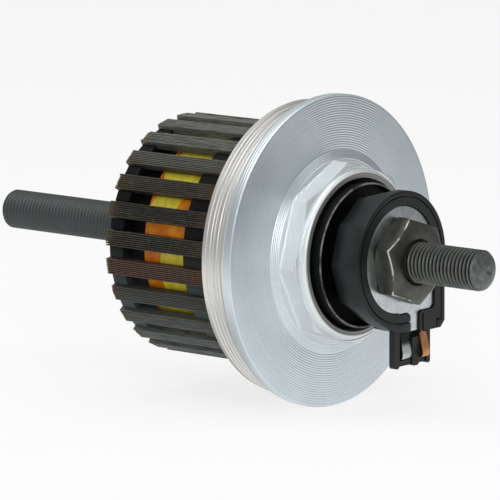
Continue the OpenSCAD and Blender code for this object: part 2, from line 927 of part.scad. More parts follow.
// Threaded aluminium cap: flange, spanner octagon, collar and bearing seat
module end_cap() {
    rim_r = flange_d / 2;
    shell_r = shell_d / 2;
    relief = 0.5;
    thread_lead = 0.4;
    thread_start = relief + thread_lead;
    seat_r = shell_r + seat_groove_gap;
    root_r = shell_r - shell_thread_h;
    thread_end = shell_len - relief - shell_crest * shell_pitch;
    last_crest = thread_start + turns(thread_start, thread_end, shell_pitch) * shell_pitch;
    shelf = 0.15;
    shoulder_r = octagon_r(boss_flats) + shelf;
    collar_r = collar_d / 2;
    collar_edge = 0.65;
    boss_angle = 94.5;
    color([0.75, 0.78, 0.8])
        difference() {
            union() {
                revolve(concat(
                    [
                        [0, hub_end], [0, boss_y], [shoulder_r, boss_y], [pad_d / 2, pad_y],
                        [rim_r - rim_chamfer, -rim_t], [rim_r, -rim_t + rim_chamfer],
                        [rim_r, -rim_chamfer], [rim_r - rim_chamfer, 0], [seat_r, 0],
                        [seat_r, -seat_groove], [root_r, -seat_groove], [root_r, relief]
                    ],
                    thread_points(shell_r, thread_start, thread_end,
                        shell_pitch, shell_thread_h, shell_crest, shell_flank),
                    [
                        [shell_r, last_crest], [shell_r, shell_len - relief],
                        [shell_r - relief, shell_len],
                        [shell_r - ring_wall, shell_len], [shell_r - ring_wall, web_back],
                        [hub_d / 2, web_back], [hub_d / 2, hub_end]
                    ]
                ));
                intersection() {
                    slab(boss_top, boss_y + thin)
                        octagon(boss_flats, boss_angle);
                    revolve([
                        [0, boss_top], [shoulder_r - boss_bevel * 2, boss_top],
                        [shoulder_r, boss_top + boss_bevel], [shoulder_r, boss_y + thin],
                        [0, boss_y + thin]
                    ]);
                }
                revolve([
                    [0, collar_y], [collar_r - collar_edge, collar_y],
                    [collar_r, collar_y + collar_edge], [collar_r, boss_top + thin],
                    [0, boss_top + thin]
                ]);
            }
            rod(bore_r, collar_y - over, seal_floor);
            rod(cup_d / 2, seal_floor - over, cup_rear);
            rod(cup_stop_d / 2, cup_rear - over, hub_end + over);
        }
}

// Steel tube that carries the flux between the claws' legs
module core_tube() {
    color([0.45, 0.45, 0.47])
        difference() {
            ring(axle_r, core_r, stator_y, stator_end);
            slab(stator_y - over, keyway_end + lead_room)
                translate([-keyway_w / 2, -core_r - over])
                    square([keyway_w, core_r + over - axle_r / 2]);
        }
}

// Side view of a left claw: a bar along the coil and a leg down to the core
function claw_view(inset) = [
    [core_r - over, stator_end - leg_t], [core_r - over, stator_end - inset],
    [bar_out - inset, stator_end - inset], [bar_out - inset, stator_y + inset],
    [bar_in, stator_y + inset], [bar_in, stator_end - leg_t]
];

// One left claw, a stack of steel sheets, built along +X
module claw() {
    sheet = claw_w / sheet_n;
    difference() {
        union() {
            translate([0, 0, -claw_w / 2 + sheet_gap / 2])
                linear_extrude(claw_w - sheet_gap)
                    polygon(claw_view(sheet_groove));
            for (i = [0:sheet_n - 1])
                translate([0, 0, -claw_w / 2 + i * sheet + sheet_gap / 2])
                    linear_extrude(sheet - sheet_gap)
                        polygon(claw_view(0));
        }
        rod(core_r, stator_y - over, stator_end + over);
    }
}

// A claw of the left side, whose leg is at the stator's far end
module left_claw(i) {
    color([0.3, 0.29, 0.26])
        turned(claw_start + (i - 1) * claw_step)
            claw();
}

// A claw of the right side, the same stack turned end for end
module right_claw(i) {
    color([0.33, 0.3, 0.27])
        turned(claw_start + (i - 0.5) * claw_step)
            translate([0, stator_y + stator_end, 0])
                mirror([0, 1, 0])
                    claw();
}

// Room round a claw's bar or leg in the bobbin
module claw_room(r0, y0, y1) {
    w = claw_w + 2 * claw_gap;
    translate([r0, y0, -w / 2])
        cube([stator_r - r0 + over, y1 - y0, w]);
}

// Black moulded bobbin: tube, two flanges, and the blocks between the claws
module bobbin() {
    left_leg = stator_end - leg_t - claw_gap;
    right_leg = stator_y + leg_t + claw_gap;
    live_reach = slot_w / 2 - live_route[0][2];
    color([0.15, 0.16, 0.17])
        difference() {
            union() {
                ring(core_r, core_r + bobbin_wall, stator_y + finger_inset, bobbin_end);
                ring(core_r, finger_r, stator_y + finger_inset, coil_start);
                ring(core_r, step_r, coil_end, step_end + thin);
                ring(core_r, finger_r, step_end, bobbin_end);
            }
            for (i = [0:claw_n - 1]) {
                turned(claw_start + i * claw_step) {
                    claw_room(flange_r, stator_y, stator_end);
                    claw_room(core_r / 2, left_leg, stator_end);
                }
                turned(claw_start + (i + 0.5) * claw_step) {
                    claw_room(flange_r, stator_y, stator_end);
                    claw_room(core_r / 2, stator_y, right_leg);
                }
            }
            slab(keyway_end - slot_w, coil_start + thin)
                translate([-slot_w / 2, -live_reach])
                    square([slot_w, live_reach]);
            turned(ground_turn)
                translate([ground_route[0][0] - slot_w / 2, coil_end - thin, -slot_w / 2])
                    cube([slot_w, bobbin_end - coil_end + over, slot_w]);
        }
}

// The winding, wholly under its tape
module coil() {
    color([0.72, 0.4, 0.2])
        ring(core_r + bobbin_wall, coil_r, coil_start, coil_end);
}

// Tape round the winding
module coil_tape() {
    color([0.9, 0.72, 0.15])
        ring(coil_r, coil_r + tape_t, coil_start, coil_end);
}

module clamp_washer_right() {
    color("darkgray")
        ring(axle_r, clamp_d / 2, stator_y - clamp_t, stator_y);
}

module clamp_washer_left() {
    color("darkgray")
        ring(axle_r, clamp_d / 2, stator_end, tag_front);
}

// Hexagon nut on the stator's clamp, bevelled at both faces
module clamp_nut(y0) {
    face_d = clamp_nut_flats * nut_face_d / nut_flats;
    seat_d = clamp_nut_flats * nut_seat_d / nut_flats;
    countersink = 0.3;
    color("gray")
        nut(clamp_nut_flats, y0, y0 + clamp_nut_h, face_d, seat_d, countersink);
}

module clamp_nut_right() {
    clamp_nut(clamp_right_y);
}

module clamp_nut_left() {
    clamp_nut(clamp_left_y);
}

// Ring with a lug under the left clamp nut, where the ground lead is soldered
module ground_tag() {
    color([0.8, 0.8, 0.75])
        difference() {
            union() {
                rod(tag_d / 2, tag_front, clamp_left_y);
                turned(ground_turn)
                    translate([0, tag_front, -lug_w / 2])
                        cube([lug_r, tag_t, lug_w]);
            }
            rod(axle_r, tag_front - over, clamp_left_y + over);
        }
}

module live_lead() {
    color([0.7, 0.15, 0.1])
        lead(live_route);
}

module ground_lead() {
    color([0.1, 0.1, 0.1])
        turned(ground_turn)
            lead(ground_route);
}

axle();
lock_nut();
ground_plate();
terminal_block();
connector_sleeve();
ground_contact();
live_contact();
thrust_washer();
spacer();
bearing_cone();
dust_cover();
seal_ring();
bearing_balls();
ball_retainer();
bearing_cup();
end_cap();
core_tube();
bobbin();
coil();
coil_tape();
clamp_washer_right();
clamp_nut_right();
clamp_washer_left();
clamp_nut_left();
ground_tag();
live_lead();
ground_lead();
for (i = [1:claw_n]) {
    left_claw(i);
    right_claw(i);
}
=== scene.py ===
# %% [markdown]
# # The inner unit of a hub dynamo
# A hub dynamo makes the current for a bicycle's lamps. This is the unit that slides into the
# front hub: a threaded axle, a stator of steel claws round a taped coil, an aluminium cap with
# a spanner octagon, and a connector for the lamp's plug under a lock nut. The CAD frame already
# holds every piece at its true size. This script gives each one its look: rounded edges, real
# threads, separate steel sheets, film tape, and a finish made of shader nodes.

import json
import math
import random

import bpy
from mathutils import Matrix, Vector


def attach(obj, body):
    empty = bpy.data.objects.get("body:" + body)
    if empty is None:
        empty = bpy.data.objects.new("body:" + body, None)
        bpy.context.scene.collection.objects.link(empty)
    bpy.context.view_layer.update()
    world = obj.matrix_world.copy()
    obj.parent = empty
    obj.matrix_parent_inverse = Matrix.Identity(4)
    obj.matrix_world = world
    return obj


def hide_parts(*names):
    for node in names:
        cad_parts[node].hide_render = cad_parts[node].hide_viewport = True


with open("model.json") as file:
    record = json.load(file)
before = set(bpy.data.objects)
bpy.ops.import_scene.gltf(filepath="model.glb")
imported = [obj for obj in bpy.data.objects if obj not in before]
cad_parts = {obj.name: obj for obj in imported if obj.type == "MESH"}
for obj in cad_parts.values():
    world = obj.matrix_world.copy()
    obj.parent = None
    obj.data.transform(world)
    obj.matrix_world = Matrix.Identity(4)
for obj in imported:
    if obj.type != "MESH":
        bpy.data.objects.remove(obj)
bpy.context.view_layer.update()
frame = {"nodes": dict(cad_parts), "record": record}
MM = 0.001
print("CAD nodes:", len(frame["nodes"]))

# %% [markdown]
# ## Working in edit mode from a script
# An operator acts on whatever is selected, and the CAD nodes come in selected. So every step
# starts from an empty selection and picks its piece, and inside edit mode the points, edges or
# faces to work on are picked by a test of their place. Lengths are written in millimetres, as
# on a drawing, and turned into metres where they meet Blender.


# %% Pick a piece, and pick parts of it by place
def clear_selection():
    for thing in bpy.context.selected_objects:
        thing.select_set(False)


def work_on(piece):
    clear_selection()
    piece.select_set(True)
    bpy.context.view_layer.objects.active = piece


def edit(piece):
    work_on(piece)
    bpy.ops.object.mode_set(mode="EDIT")
    bpy.ops.mesh.select_all(action="SELECT")


def leave_edit():
    bpy.ops.object.mode_set(mode="OBJECT")


def pick(piece, kind, test):
    """Selects the points, edges or faces of a piece in edit mode that pass a test."""
    bpy.ops.mesh.select_mode(type=kind)
    bpy.ops.mesh.select_all(action="DESELECT")
    leave_edit()
    mesh = piece.data
    parts = {"VERT": mesh.vertices, "EDGE": mesh.edges, "FACE": mesh.polygons}[kind]
    for part in parts:
        part.select = bool(test(part))
    bpy.ops.object.mode_set(mode="EDIT")


def named(name):
    piece = bpy.context.object
    piece.name = name
    piece.data.name = name
    return piece


def apply_modifier(piece, kind, **settings):
    """Adds a modifier with its settings and applies it to the mesh."""
    work_on(piece)
    modifier = piece.modifiers.new(kind.lower(), kind)
    for key, value in settings.items():
        setattr(modifier, key, value)
    bpy.ops.object.modifier_apply(modifier=modifier.name)
    return piece


# %% [markdown]
# ## Rounded edges
# No real edge is perfectly sharp. Even a tenth of a millimetre of rounding catches a line of
# light, and that line is what makes a part look made. A narrow Bevel on the edges between
# faces that meet at an angle does it, followed by smooth shading that keeps the flats flat. The
# bevel's clamp narrows all the roundings of a piece together. Connector sleeve, bobbin and
# ground tag keep less than a tenth of the width that is asked, the terminal block keeps none,
# and the nuts and the ball retainer keep less than half.


# %% Round the edges and shade a piece
SHARP = math.radians(32)


def smooth(piece, sharp=SHARP):
    work_on(piece)
    bpy.ops.object.shade_smooth_by_angle(angle=sharp)
    return piece


def rounded(piece, width, segments=3):
    """Rounds the edges between faces that meet at more than the sharp angle."""
    apply_modifier(
        piece,
        "BEVEL",
        width=width * MM,
        segments=segments,
        limit_method="ANGLE",
        angle_limit=SHARP,
        use_clamp_overlap=True,
    )
    return smooth(piece)


def place_in_mesh(piece):
    work_on(piece)
    bpy.ops.object.transform_apply(location=True, rotation=True, scale=True)
    return piece


def outward(piece):
    """Merges doubled points and turns the faces outwards."""
    edit(piece)
    bpy.ops.mesh.remove_doubles(threshold=0.002 * MM)
    bpy.ops.mesh.select_all(action="SELECT")
    bpy.ops.mesh.normals_make_consistent(inside=False)
    leave_edit()
    return piece


# %% [markdown]
# ## Cleaned copies of CAD nodes
# A CAD node is loose triangles with a fixed shape, so it isn't edited. A copy is: its corner
# points are merged, the triangles of each flat face are dissolved into one face, and then a
# bevel can run round the edges. The copy takes the node's place on the same body.


# %% Make a cleaned copy of a node
def cleaned_copy(node):
    piece = bpy.data.objects.new(node + "_finished", frame["nodes"][node].data.copy())
    bpy.context.scene.collection.objects.link(piece)
    piece.data.materials.clear()
    work_on(piece)
    bpy.ops.mesh.customdata_custom_splitnormals_clear()
    edit(piece)
    bpy.ops.mesh.remove_doubles(threshold=0.002 * MM)
    bpy.ops.mesh.select_all(action="SELECT")
    bpy.ops.mesh.dissolve_limited(angle_limit=math.radians(0.4))
    leave_edit()
    return piece


# %% [markdown]
# ## Turned shapes
# A lathe makes most of this object, and the mesh is made the same way: a half profile is drawn
# point by point, by extruding one point along the outline, and then spun about the axle. The
# profile's corners can be rounded before the spin, which is cheaper than a bevel afterwards.


# %% Draw a profile and spin it
def drawn(name, points, closed=True):
    """Draws an outline of (distance from the axle, place along it) points in millimetres."""
    clear_selection()
    bpy.ops.mesh.primitive_plane_add(size=MM)
    piece = named(name)
    edit(piece)
    bpy.ops.mesh.select_mode(type="VERT")
    bpy.ops.mesh.merge(type="CENTER")
    bpy.ops.mesh.select_all(action="SELECT")
    spots = [Vector((p[0], p[1], p[2] if len(p) > 2 else 0)) * MM for p in points]
    bpy.ops.transform.translate(value=spots[0])
    for here, there in zip(spots, spots[1:]):
        bpy.ops.mesh.extrude_region_move(
            TRANSFORM_OT_translate={"value": there - here}
        )
    if closed:
        ends = {0, len(spots) - 1}
        pick(piece, "VERT", lambda v: v.index in ends)
        bpy.ops.mesh.edge_face_add()
    leave_edit()
    return piece


def softened(piece, offset, corners):
    """Rounds an outline at the points that are listed by their number."""
    edit(piece)
    pick(piece, "VERT", lambda v: v.index in corners)
    bpy.ops.mesh.bevel(offset=offset * MM, segments=4, affect="VERTICES")
    leave_edit()
    return piece


def spun(piece, steps=160):
    edit(piece)
    bpy.ops.mesh.spin(
        steps=steps, angle=math.tau, center=(0, 0, 0), axis=(0, 1, 0)
    )
    leave_edit()
    return outward(piece)


# %% [markdown]
# ## Cutting and joining
# Boolean modifiers are the script's saw and its glue. The exact solver is used, because these
# shapes meet along clean edges. The second shape is only a tool and is deleted afterwards.


# %% Combine two shapes
def combined(piece, tool, operation):
    apply_modifier(piece, "BOOLEAN", object=tool, operation=operation, solver="EXACT")
    bpy.data.objects.remove(tool)
    return piece


def joined(pieces, name):
    clear_selection()
    for piece in pieces:
        piece.select_set(True)
    bpy.context.view_layer.objects.active = pieces[0]
    bpy.ops.object.join()
    return named(name)


# %% [markdown]
# ## Shader maths as plain expressions
# A finish is a sum of fields over the surface: a distance from the axle, a noise, a mask. The
# small class below wraps a node's output, so that such a sum is written as maths and Python adds
# the Math nodes. Every other node comes from one method, which sets its settings first and its
# sockets after.


# %% The class that wraps a socket
class Field:
    def __init__(self, socket):
        self.socket = socket
        self.tree = socket.id_data

    def node(self, kind, settings, inputs, output=0):
        """Adds a node to the same tree and returns one of its outputs."""
        return add_node(self.tree, kind, settings, inputs, output)

    def maths(self, operation, *others):
        numbered = dict(enumerate((self, *others)))
        return self.node("Math", {"operation": operation}, numbered)

    def __add__(self, other):
        return self.maths("ADD", other)

    def __sub__(self, other):
        return self.maths("SUBTRACT", other)

    def __mul__(self, other):
        return self.maths("MULTIPLY", other)

    def __truediv__(self, other):
        return self.maths("DIVIDE", other)

    def __pow__(self, other):
        return self.maths("POWER", other)

    def __rsub__(self, other):
        return self.node("Math", {"operation": "SUBTRACT"}, {0: other, 1: self})

    __radd__ = __add__
    __rmul__ = __mul__


def add_node(tree, kind, settings, inputs, output=0):
    node = tree.nodes.new("ShaderNode" + kind)
    for key, value in settings.items():
        if key == "stops":
            ramp = node.color_ramp.elements
            while len(ramp) < len(value):
                ramp.new(1)
            for element, (position, colour) in zip(ramp, value):
                element.position = position
                element.color = colour
        else:
            setattr(node, key, value)
    for key, value in inputs.items():
        if isinstance(value, Field):
            tree.links.new(value.socket, node.inputs[key])
        else:
            node.inputs[key].default_value = value
    return Field(node.outputs[output]) if node.outputs else None


# %% [markdown]
# ## Words for finishes
# Colours are written as they read on a screen, from 0 to 255, and turned into the linear values
# that Blender mixes. A mask is a soft step of a field. Noise makes mottling, and noise that is
# stretched one way makes brushing, rolling lines and scratches. All of it reads Object
# coordinates, so that a pattern sits in the metal and not on the picture.


# %% Colours, masks and noises
def colour(red, green, blue):
    def linear(value):
        value = value / 255
        return value / 12.92 if value <= 0.04045 else ((value + 0.055) / 1.055) ** 2.4

    return (linear(red), linear(green), linear(blue), 1)


def new_finish(name):
    """Starts a material and returns it with the place of each point, in millimetres."""
    material = bpy.data.materials.new(name)
    material.use_nodes = True
    material.node_tree.nodes.clear()
    spot = add_node(material.node_tree, "TexCoord", {}, {}, "Object")
    return material, spot.node("VectorMath", {"operation": "SCALE"}, {0: spot, "Scale": 1 / MM})


def parts_of(place):
    return [place.node("SeparateXYZ", {}, {0: place}, axis) for axis in "XYZ"]


def stretched(place, x, y, z):
    return place.node("VectorMath", {"operation": "MULTIPLY"}, {0: place, 1: (x, y, z)})


def turned(place, x, y, z):
    angles = [math.radians(angle) for angle in (x, y, z)]
    return place.node("Mapping", {}, {"Vector": place, "Rotation": angles})


def noise(place, grain, detail=2, rough=0.5):
    """A noise whose blotches are about grain millimetres across, from 0 to 1."""
    return place.node(
        "TexNoise",
        {},
        {"Vector": place, "Scale": 1 / grain, "Detail": detail, "Roughness": rough},
    )


def line_noise(along, grain, detail=2):
    """A noise along a single distance, in the same way."""
    return along.node(
        "TexNoise",
        {"noise_dimensions": "1D"},
        {"W": along, "Scale": 1 / grain, "Detail": detail},
    )


def mask(value, low, high):
    return value.node(
        "MapRange",
        {"interpolation_type": "SMOOTHSTEP"},
        {"Value": value, "From Min": low, "From Max": high},
    )


def blend(amount, first, second):
    return amount.node(
        "Mix", {"data_type": "RGBA"}, {0: amount, 6: first, 7: second}, 2
    )


def relief(height, depth):
    """Turns a height from 0 to 1 into a surface relief that is depth millimetres deep."""
    return height.node("Bump", {}, {"Height": height, "Distance": depth * MM})


def coated(material, place, **sockets):
    """Feeds the material's surface shader. A space in a socket's name is written _."""
    inputs = {key.replace("_", " "): value for key, value in sockets.items()}
    shader = place.node("BsdfPrincipled", {}, inputs)
    place.node("OutputMaterial", {}, {"Surface": shader})
    return material


# %% [markdown]
# ## Finish: turned aluminium
# The cap is turned on a lathe and then satin anodised, which gives a cool grey. The tool leaves
# fine rings on a face and along a cylinder. One field gives both: the distance from the axle
# plus the place along it changes across a face and along a cylinder alike. The rings are
# shallow, so they show most where what the metal mirrors turns from light to dark. The octagon is
# milled and the collar faced after the anodising, and the thread is cut last, so all three are
# bare, paler metal. The rim's rounded rear edge is painted paler and made less metallic, as a
# painted highlight.

# %% Turned aluminium
LATHE_FEED = 0.54
ALONG_SHARE = 0.83
THREAD_FROM = 0.35
MILLED_R = 20.45
MILLED_BACK = 4.25
COLLAR_R = 18.75
COLLAR_FRONT = 9.84
RIM_EDGE_R = 33.2


def turned_aluminium():
    material, place = new_finish("turned_aluminium")
    x, y, z = parts_of(place)
    radius = (x * x + z * z) ** 0.5
    track = radius + ALONG_SHARE * y
    feed = (track * (math.tau / LATHE_FEED)).maths("SINE")
    depth = 0.75 + 0.4 * line_noise(track, 2.6)
    fine = line_noise(track, 0.16)
    cloud = noise(place, 9, 3)
    grain = noise(place, 0.35)
    bare = mask(y, THREAD_FROM, THREAD_FROM + 0.2)
    milled = mask(-1 * y, MILLED_BACK, MILLED_BACK + 0.1) * (
        1 - mask(radius, MILLED_R, MILLED_R + 0.1)
    )
    tone = 0.45 * cloud + 0.25 * grain + 0.3 * line_noise(track, 0.8, 3)
    satin = blend(mask(tone, 0.3, 0.7), colour(212, 223, 229), colour(226, 235, 239))
    cut = blend(mask(fine, 0.35, 0.65), colour(220, 218, 214), colour(236, 235, 232))
    front = milled * mask(-1 * y, COLLAR_FRONT, COLLAR_FRONT + 0.04)
    # Painted highlight: the rim's rounded rear edge is paler and less metallic, so it shows as a
    # bright line.
    rear_edge = mask(y, -0.5, -0.4) * (1 - mask(y, -0.05, 0.05))
    edge = rear_edge * mask(radius, RIM_EDGE_R, RIM_EDGE_R + 0.4)
    pale = milled.maths("MAXIMUM", edge)
    tinted = blend(pale, blend(bare, satin, cut), colour(230, 235, 237))
    collar = milled * (1 - mask(radius, COLLAR_R, COLLAR_R + 0.1))
    worn = blend(front, blend(collar, tinted, colour(237, 242, 243)), colour(158, 160, 158))
    return coated(
        material,
        place,
        Base_Color=worn,
        Metallic=1.0 - 0.15 * milled - 0.7 * edge,
        Roughness=0.32 + 0.06 * cloud + 0.03 * grain - 0.06 * bare + 0.04 * milled,
        Normal=relief((0.5 * feed * depth + 0.05 * fine) * (1 - 0.8 * bare), 0.06),
    )


# %% [markdown]
# ## Finish: blackened thread
# The axle's thread is rolled and then blackened. The distance from the axle tells crest from
# root. The roots are painted darker than the crests, a painted shade in the thread's hollows,
# darkest at the connector's end. There the nut has rubbed the crests brighter, and the tip is
# ground to bare grey. The stator's end is duller all over and has a few specks of rust.

# %% Blackened thread
CREST_R = 4.45
ROOT_R = 3.9
GROUND_TIP = 43.5


def blackened_thread():
    material, place = new_finish("blackened_thread")
    x, y, z = parts_of(place)
    radius = (x * x + z * z) ** 0.5
    crest = mask(radius, ROOT_R, CREST_R)
    cloud = noise(place, 2.5, 4, 0.6)
    fleck = noise(place, 0.3, 3)
    near = mask(-1 * y, -10, 10)
    worn = crest * near * mask(cloud, 0.2, 0.55)
    # Painted shade: the roots are darker than the crests, most of all at the connector's end.
    root = blend(near, colour(54, 58, 60), colour(16, 17, 16))
    base = blend(crest, root, colour(76, 80, 80))
    ground = mask(-1 * y, GROUND_TIP, GROUND_TIP + 0.3)
    tip = blend(mask(cloud, 0.35, 0.6), colour(84, 88, 88), colour(116, 119, 118))
    marked = blend(ground, blend(worn, base, colour(101, 104, 99)), tip)
    rust = mask(0.6 * cloud + 0.4 * fleck, 0.57, 0.66) * (1 - near)
    return coated(
        material,
        place,
        Base_Color=blend(0.5 * rust, marked, colour(92, 70, 50)),
        Metallic=0.8,
        Roughness=0.46 - 0.1 * worn,
        Normal=relief(fleck, 0.02),
    )


# %% [markdown]
# ## Finish: bronzed nut
# The lock nut has a warm grey oxide. Its faces are milled, with faint marks one way, and the
# oxide is thicker in some places than in others. A painted highlight lies in patches where the
# flats meet the front bevel: on a flat, so far from the middle, and close to the bevel's cone.

# %% Bronzed nut
NUT_HALF = 8.5
NUT_TURN = 10
NUT_FRONT = -26.4
NUT_FACE_R = 7.8


def bronzed_nut():
    material, place = new_finish("bronzed_nut")
    x, y, z = parts_of(place)
    cloud = noise(place, 3.5, 4, 0.6)
    mill = noise(stretched(place, 1, 7, 1), 1.6, 3)
    flats = [
        (x * math.cos(angle) + z * math.sin(angle)).maths("ABSOLUTE")
        for angle in (math.radians(NUT_TURN + turn) for turn in (0, 60, 120))
    ]
    outermost = flats[0].maths("MAXIMUM", flats[1]).maths("MAXIMUM", flats[2])
    radius = (x * x + z * z) ** 0.5
    behind_bevel = (y - NUT_FRONT) - (radius - NUT_FACE_R) * math.tan(math.radians(30))
    # Painted highlight: a pale line in patches where a flat meets the front bevel.
    on_flat = mask(outermost, NUT_HALF - 0.2, NUT_HALF - 0.1)
    edge = on_flat * (1 - mask(behind_bevel, 0.12, 0.3))
    painted_glint = edge * mask(noise(place, 4), 0.42, 0.56)
    return coated(
        material,
        place,
        Base_Color=blend(
            painted_glint,
            blend(mask(cloud, 0.3, 0.7), colour(73, 75, 69), colour(90, 92, 85)),
            colour(214, 214, 206),
        ),
        Metallic=0.85,
        Roughness=0.36 + 0.1 * cloud,
        Normal=relief(mill, 0.004),
    )


# %% [markdown]
# ## Finish: plated steel
# The ground plate and the washers are stamped from plated strip. Plating is a semi-mirror with
# cloudy patches, some fine scratches and a very slight waviness from the rolling.

# %% Plated steel
def plated_steel():
    material, place = new_finish("plated_steel")
    cloud = noise(place, 2.6, 4, 0.62)
    fleck = noise(place, 0.7, 3)
    scratch = mask(noise(stretched(turned(place, 0, 35, 0), 0.25, 1, 5), 0.7), 0.62, 0.7)
    patch = mask(0.7 * cloud + 0.3 * fleck, 0.38, 0.62)
    return coated(
        material,
        place,
        Base_Color=blend(patch, colour(184, 189, 192), colour(206, 210, 212)),
        Metallic=1.0,
        Roughness=0.24 + 0.1 * cloud + 0.1 * scratch,
        Normal=relief(cloud, 0.012),
    )


# %% [markdown]
# ## Finish: bearing steel
# Cone, cup and balls are hardened and ground. They are smooth and bright, with only a trace of
# grease that dulls them in places.

# %% Bearing steel
def bearing_steel():
    material, place = new_finish("bearing_steel")
    grease = mask(noise(place, 3, 3), 0.45, 0.65)
    return coated(
        material,
        place,
        Base_Color=blend(grease, colour(205, 207, 209), colour(150, 140, 118)),
        Metallic=1.0,
        Roughness=0.14 + 0.2 * grease,
        Normal=relief(noise(place, 0.4), 0.002),
    )


# %% [markdown]
# ## Finish: stacked sheets
# Each claw is a stack of electrical sheet, stamped, varnished and bent. The rolling leaves lines
# along the bar, the edges rust in specks, most of all at the bars' free ends, and handling adds
# slanting scratches. The claws don't all look alike: each claw's angle round the axle gives it
# a number, and the number picks its tone between olive grey and brown. One claw is redder: the
# seventh, whose number is counted from below because its angle is past 180 degrees. The bars at
# the top and the bottom are painted paler, as painted light.

# %% Stacked sheets
CLAW_STEP = 360 / 26
CLAW_START = 106.5
STATOR_Y = (11.7, 40.4)
RED_CLAW = 6 - 26
PALE_ABOVE = (12, 27)
PALE_BELOW = (3, 24)


def stacked_sheets():
    material, place = new_finish("stacked_sheets")
    x, y, z = parts_of(place)
    turns = z.maths("ARCTAN2", x) / math.radians(CLAW_STEP)
    number = (turns + (0.5 - CLAW_START / CLAW_STEP)).maths("FLOOR")
    own = number.node("TexWhiteNoise", {"noise_dimensions": "1D"}, {"W": number})
    rolled = noise(stretched(place, 4, 0.16, 4), 0.7, 4, 0.65)
    speck = noise(place, 0.28, 3, 0.7)
    to_end = (y - STATOR_Y[0]).maths("MINIMUM", STATOR_Y[1] - y)
    ends = 1 - mask(to_end + 2.5 * noise(place, 2), 0.5, 5.5)
    rust = ends * mask(speck, 0.47, 0.55)
    scratch = mask(noise(stretched(turned(place, 0, 0, 38), 3.2, 0.2, 1), 0.8), 0.6, 0.66)
    base = blend(mask(own, 0.35, 0.95), colour(44, 44, 37), colour(54, 45, 36))
    # Painted light: the bars at the top and at the bottom are paler.
    base = blend(mask(z, *PALE_ABOVE), base, colour(126, 131, 125))
    base = blend(mask(-1 * z, *PALE_BELOW), base, colour(122, 130, 129))
    red = number.maths("COMPARE", RED_CLAW, 0.5)
    tinted = blend(red, base, colour(86, 58, 48))
    lit = blend(mask(rolled, 0.42, 0.66), tinted, colour(72, 70, 61))
    marked = blend(0.5 * scratch, lit, colour(106, 104, 95))
    return coated(
        material,
        place,
        Base_Color=blend(0.8 * rust, marked, colour(112, 82, 42)),
        Metallic=0.55,
        Roughness=0.5 + 0.2 * rust,
        Normal=relief(0.6 * rolled + 0.4 * speck, 0.03),
    )


# %% [markdown]
# ## Finish: moulded black, rubber and lead insulation
# Moulded black plastic is a dark grey that shines softly. Its grain is very fine, and faint flow
# marks vary the gloss. Rubber is darker and quite matt. The leads are insulated in soft plastic.
# A tone for below paints light on the bobbin's lower blocks. The spacer and the bobbin take a
# darker black than the moulded black, as painted shade.

# %% Moulded black and rubber
def moulded(name, tone, gloss, grain, shine=0.3, below=None):
    material, place = new_finish(name)
    cloud = noise(place, 5, 3)
    pale = tuple(min(1, 1.5 * part) for part in tone[:3]) + (1,)
    black = blend(mask(cloud, 0.35, 0.7), tone, pale)
    # Painted light: the lower part is lighter.
    if below:
        black = blend(mask(-1 * parts_of(place)[2], -4, 20), black, below)
    return coated(
        material,
        place,
        Base_Color=black,
        Roughness=gloss + 0.12 * cloud,
        Specular_IOR_Level=shine,
        Normal=relief(noise(place, grain, 3), 0.01),
    )


# %% [markdown]
# ## Finish: dust cover
# The dust cover is a darker black than the moulded black, as painted shade, and its front edge
# has a thin grey line in patches, a painted highlight. The edge is known by its distance from the
# axle and its place along it.

# %% Dust cover
COVER_EDGE_R = 15.4
COVER_FRONT = 11.75


def cover_painted_shade_and_highlight():
    material, place = new_finish("cover_painted_shade_and_highlight")
    x, y, z = parts_of(place)
    radius = (x * x + z * z) ** 0.5
    patchy = mask(noise(place, 2.2, 3), 0.25, 0.6)
    # Painted highlight: a grey line in patches on the front edge, over a black darkened as painted
    # shade.
    edge = mask(radius, COVER_EDGE_R, COVER_EDGE_R + 0.15) * mask(
        -1 * y, COVER_FRONT, COVER_FRONT + 0.15
    )
    return coated(
        material,
        place,
        Base_Color=blend(edge * patchy, colour(8, 9, 9), colour(118, 124, 122)),
        Roughness=0.5 - 0.1 * edge,
        Specular_IOR_Level=0.12,
        Normal=relief(noise(place, 0.3, 3), 0.01),
    )


# %% [markdown]
# ## Finish: film tape
# The coil is wrapped in polyester film tape, yellow over orange. Film is glossy and slightly
# see-through, so its colour deepens where the varnish under it is thick. It also lies in faint
# creases across the coil.

# %% Film tape
def film_tape(name, light, deep):
    material, place = new_finish(name)
    soak = noise(place, 3.2, 4, 0.6)
    crease = noise(stretched(place, 1.4, 0.5, 1.4), 1.1, 3)
    stain = mask(noise(place, 1.4, 3), 0.58, 0.72)
    tone = blend(mask(soak, 0.34, 0.66), deep, light)
    return coated(
        material,
        place,
        Base_Color=blend(0.3 * stain, tone, colour(150, 96, 10)),
        Roughness=0.24 + 0.2 * soak,
        Specular_IOR_Level=0.3,
        Normal=relief(crease, 0.1),
    )


# %% [markdown]
# ## Finish: copper and brass strip
# The live contact is copper alloy strip and the ball retainer is stamped brass. Both are rolled
# metal with a little tarnish. Above a given height the strip is painted dark, as painted shade:
# so is the live contact's stem, and the plated leaf of the ground contact, which is rolled strip
# too.

# %% Copper and brass
def strip_metal(name, bright, tarnish, shade_above=99, fade=0.8, dark=colour(50, 50, 48)):
    material, place = new_finish(name)
    cloud = noise(place, 1.8, 4, 0.6)
    rolled = noise(stretched(place, 6, 1, 0.4), 1)
    height = parts_of(place)[2] + 1.2 * (cloud - 0.5)
    # Painted shade: above the given height the strip is darker.
    painted_shade = 0.95 * mask(height, shade_above, shade_above + fade)
    return coated(
        material,
        place,
        Base_Color=blend(painted_shade, blend(mask(cloud, 0.36, 0.68), bright, tarnish), dark),
        Metallic=0.9,
        Roughness=0.36 + 0.1 * cloud,
        Normal=relief(rolled, 0.003),
    )


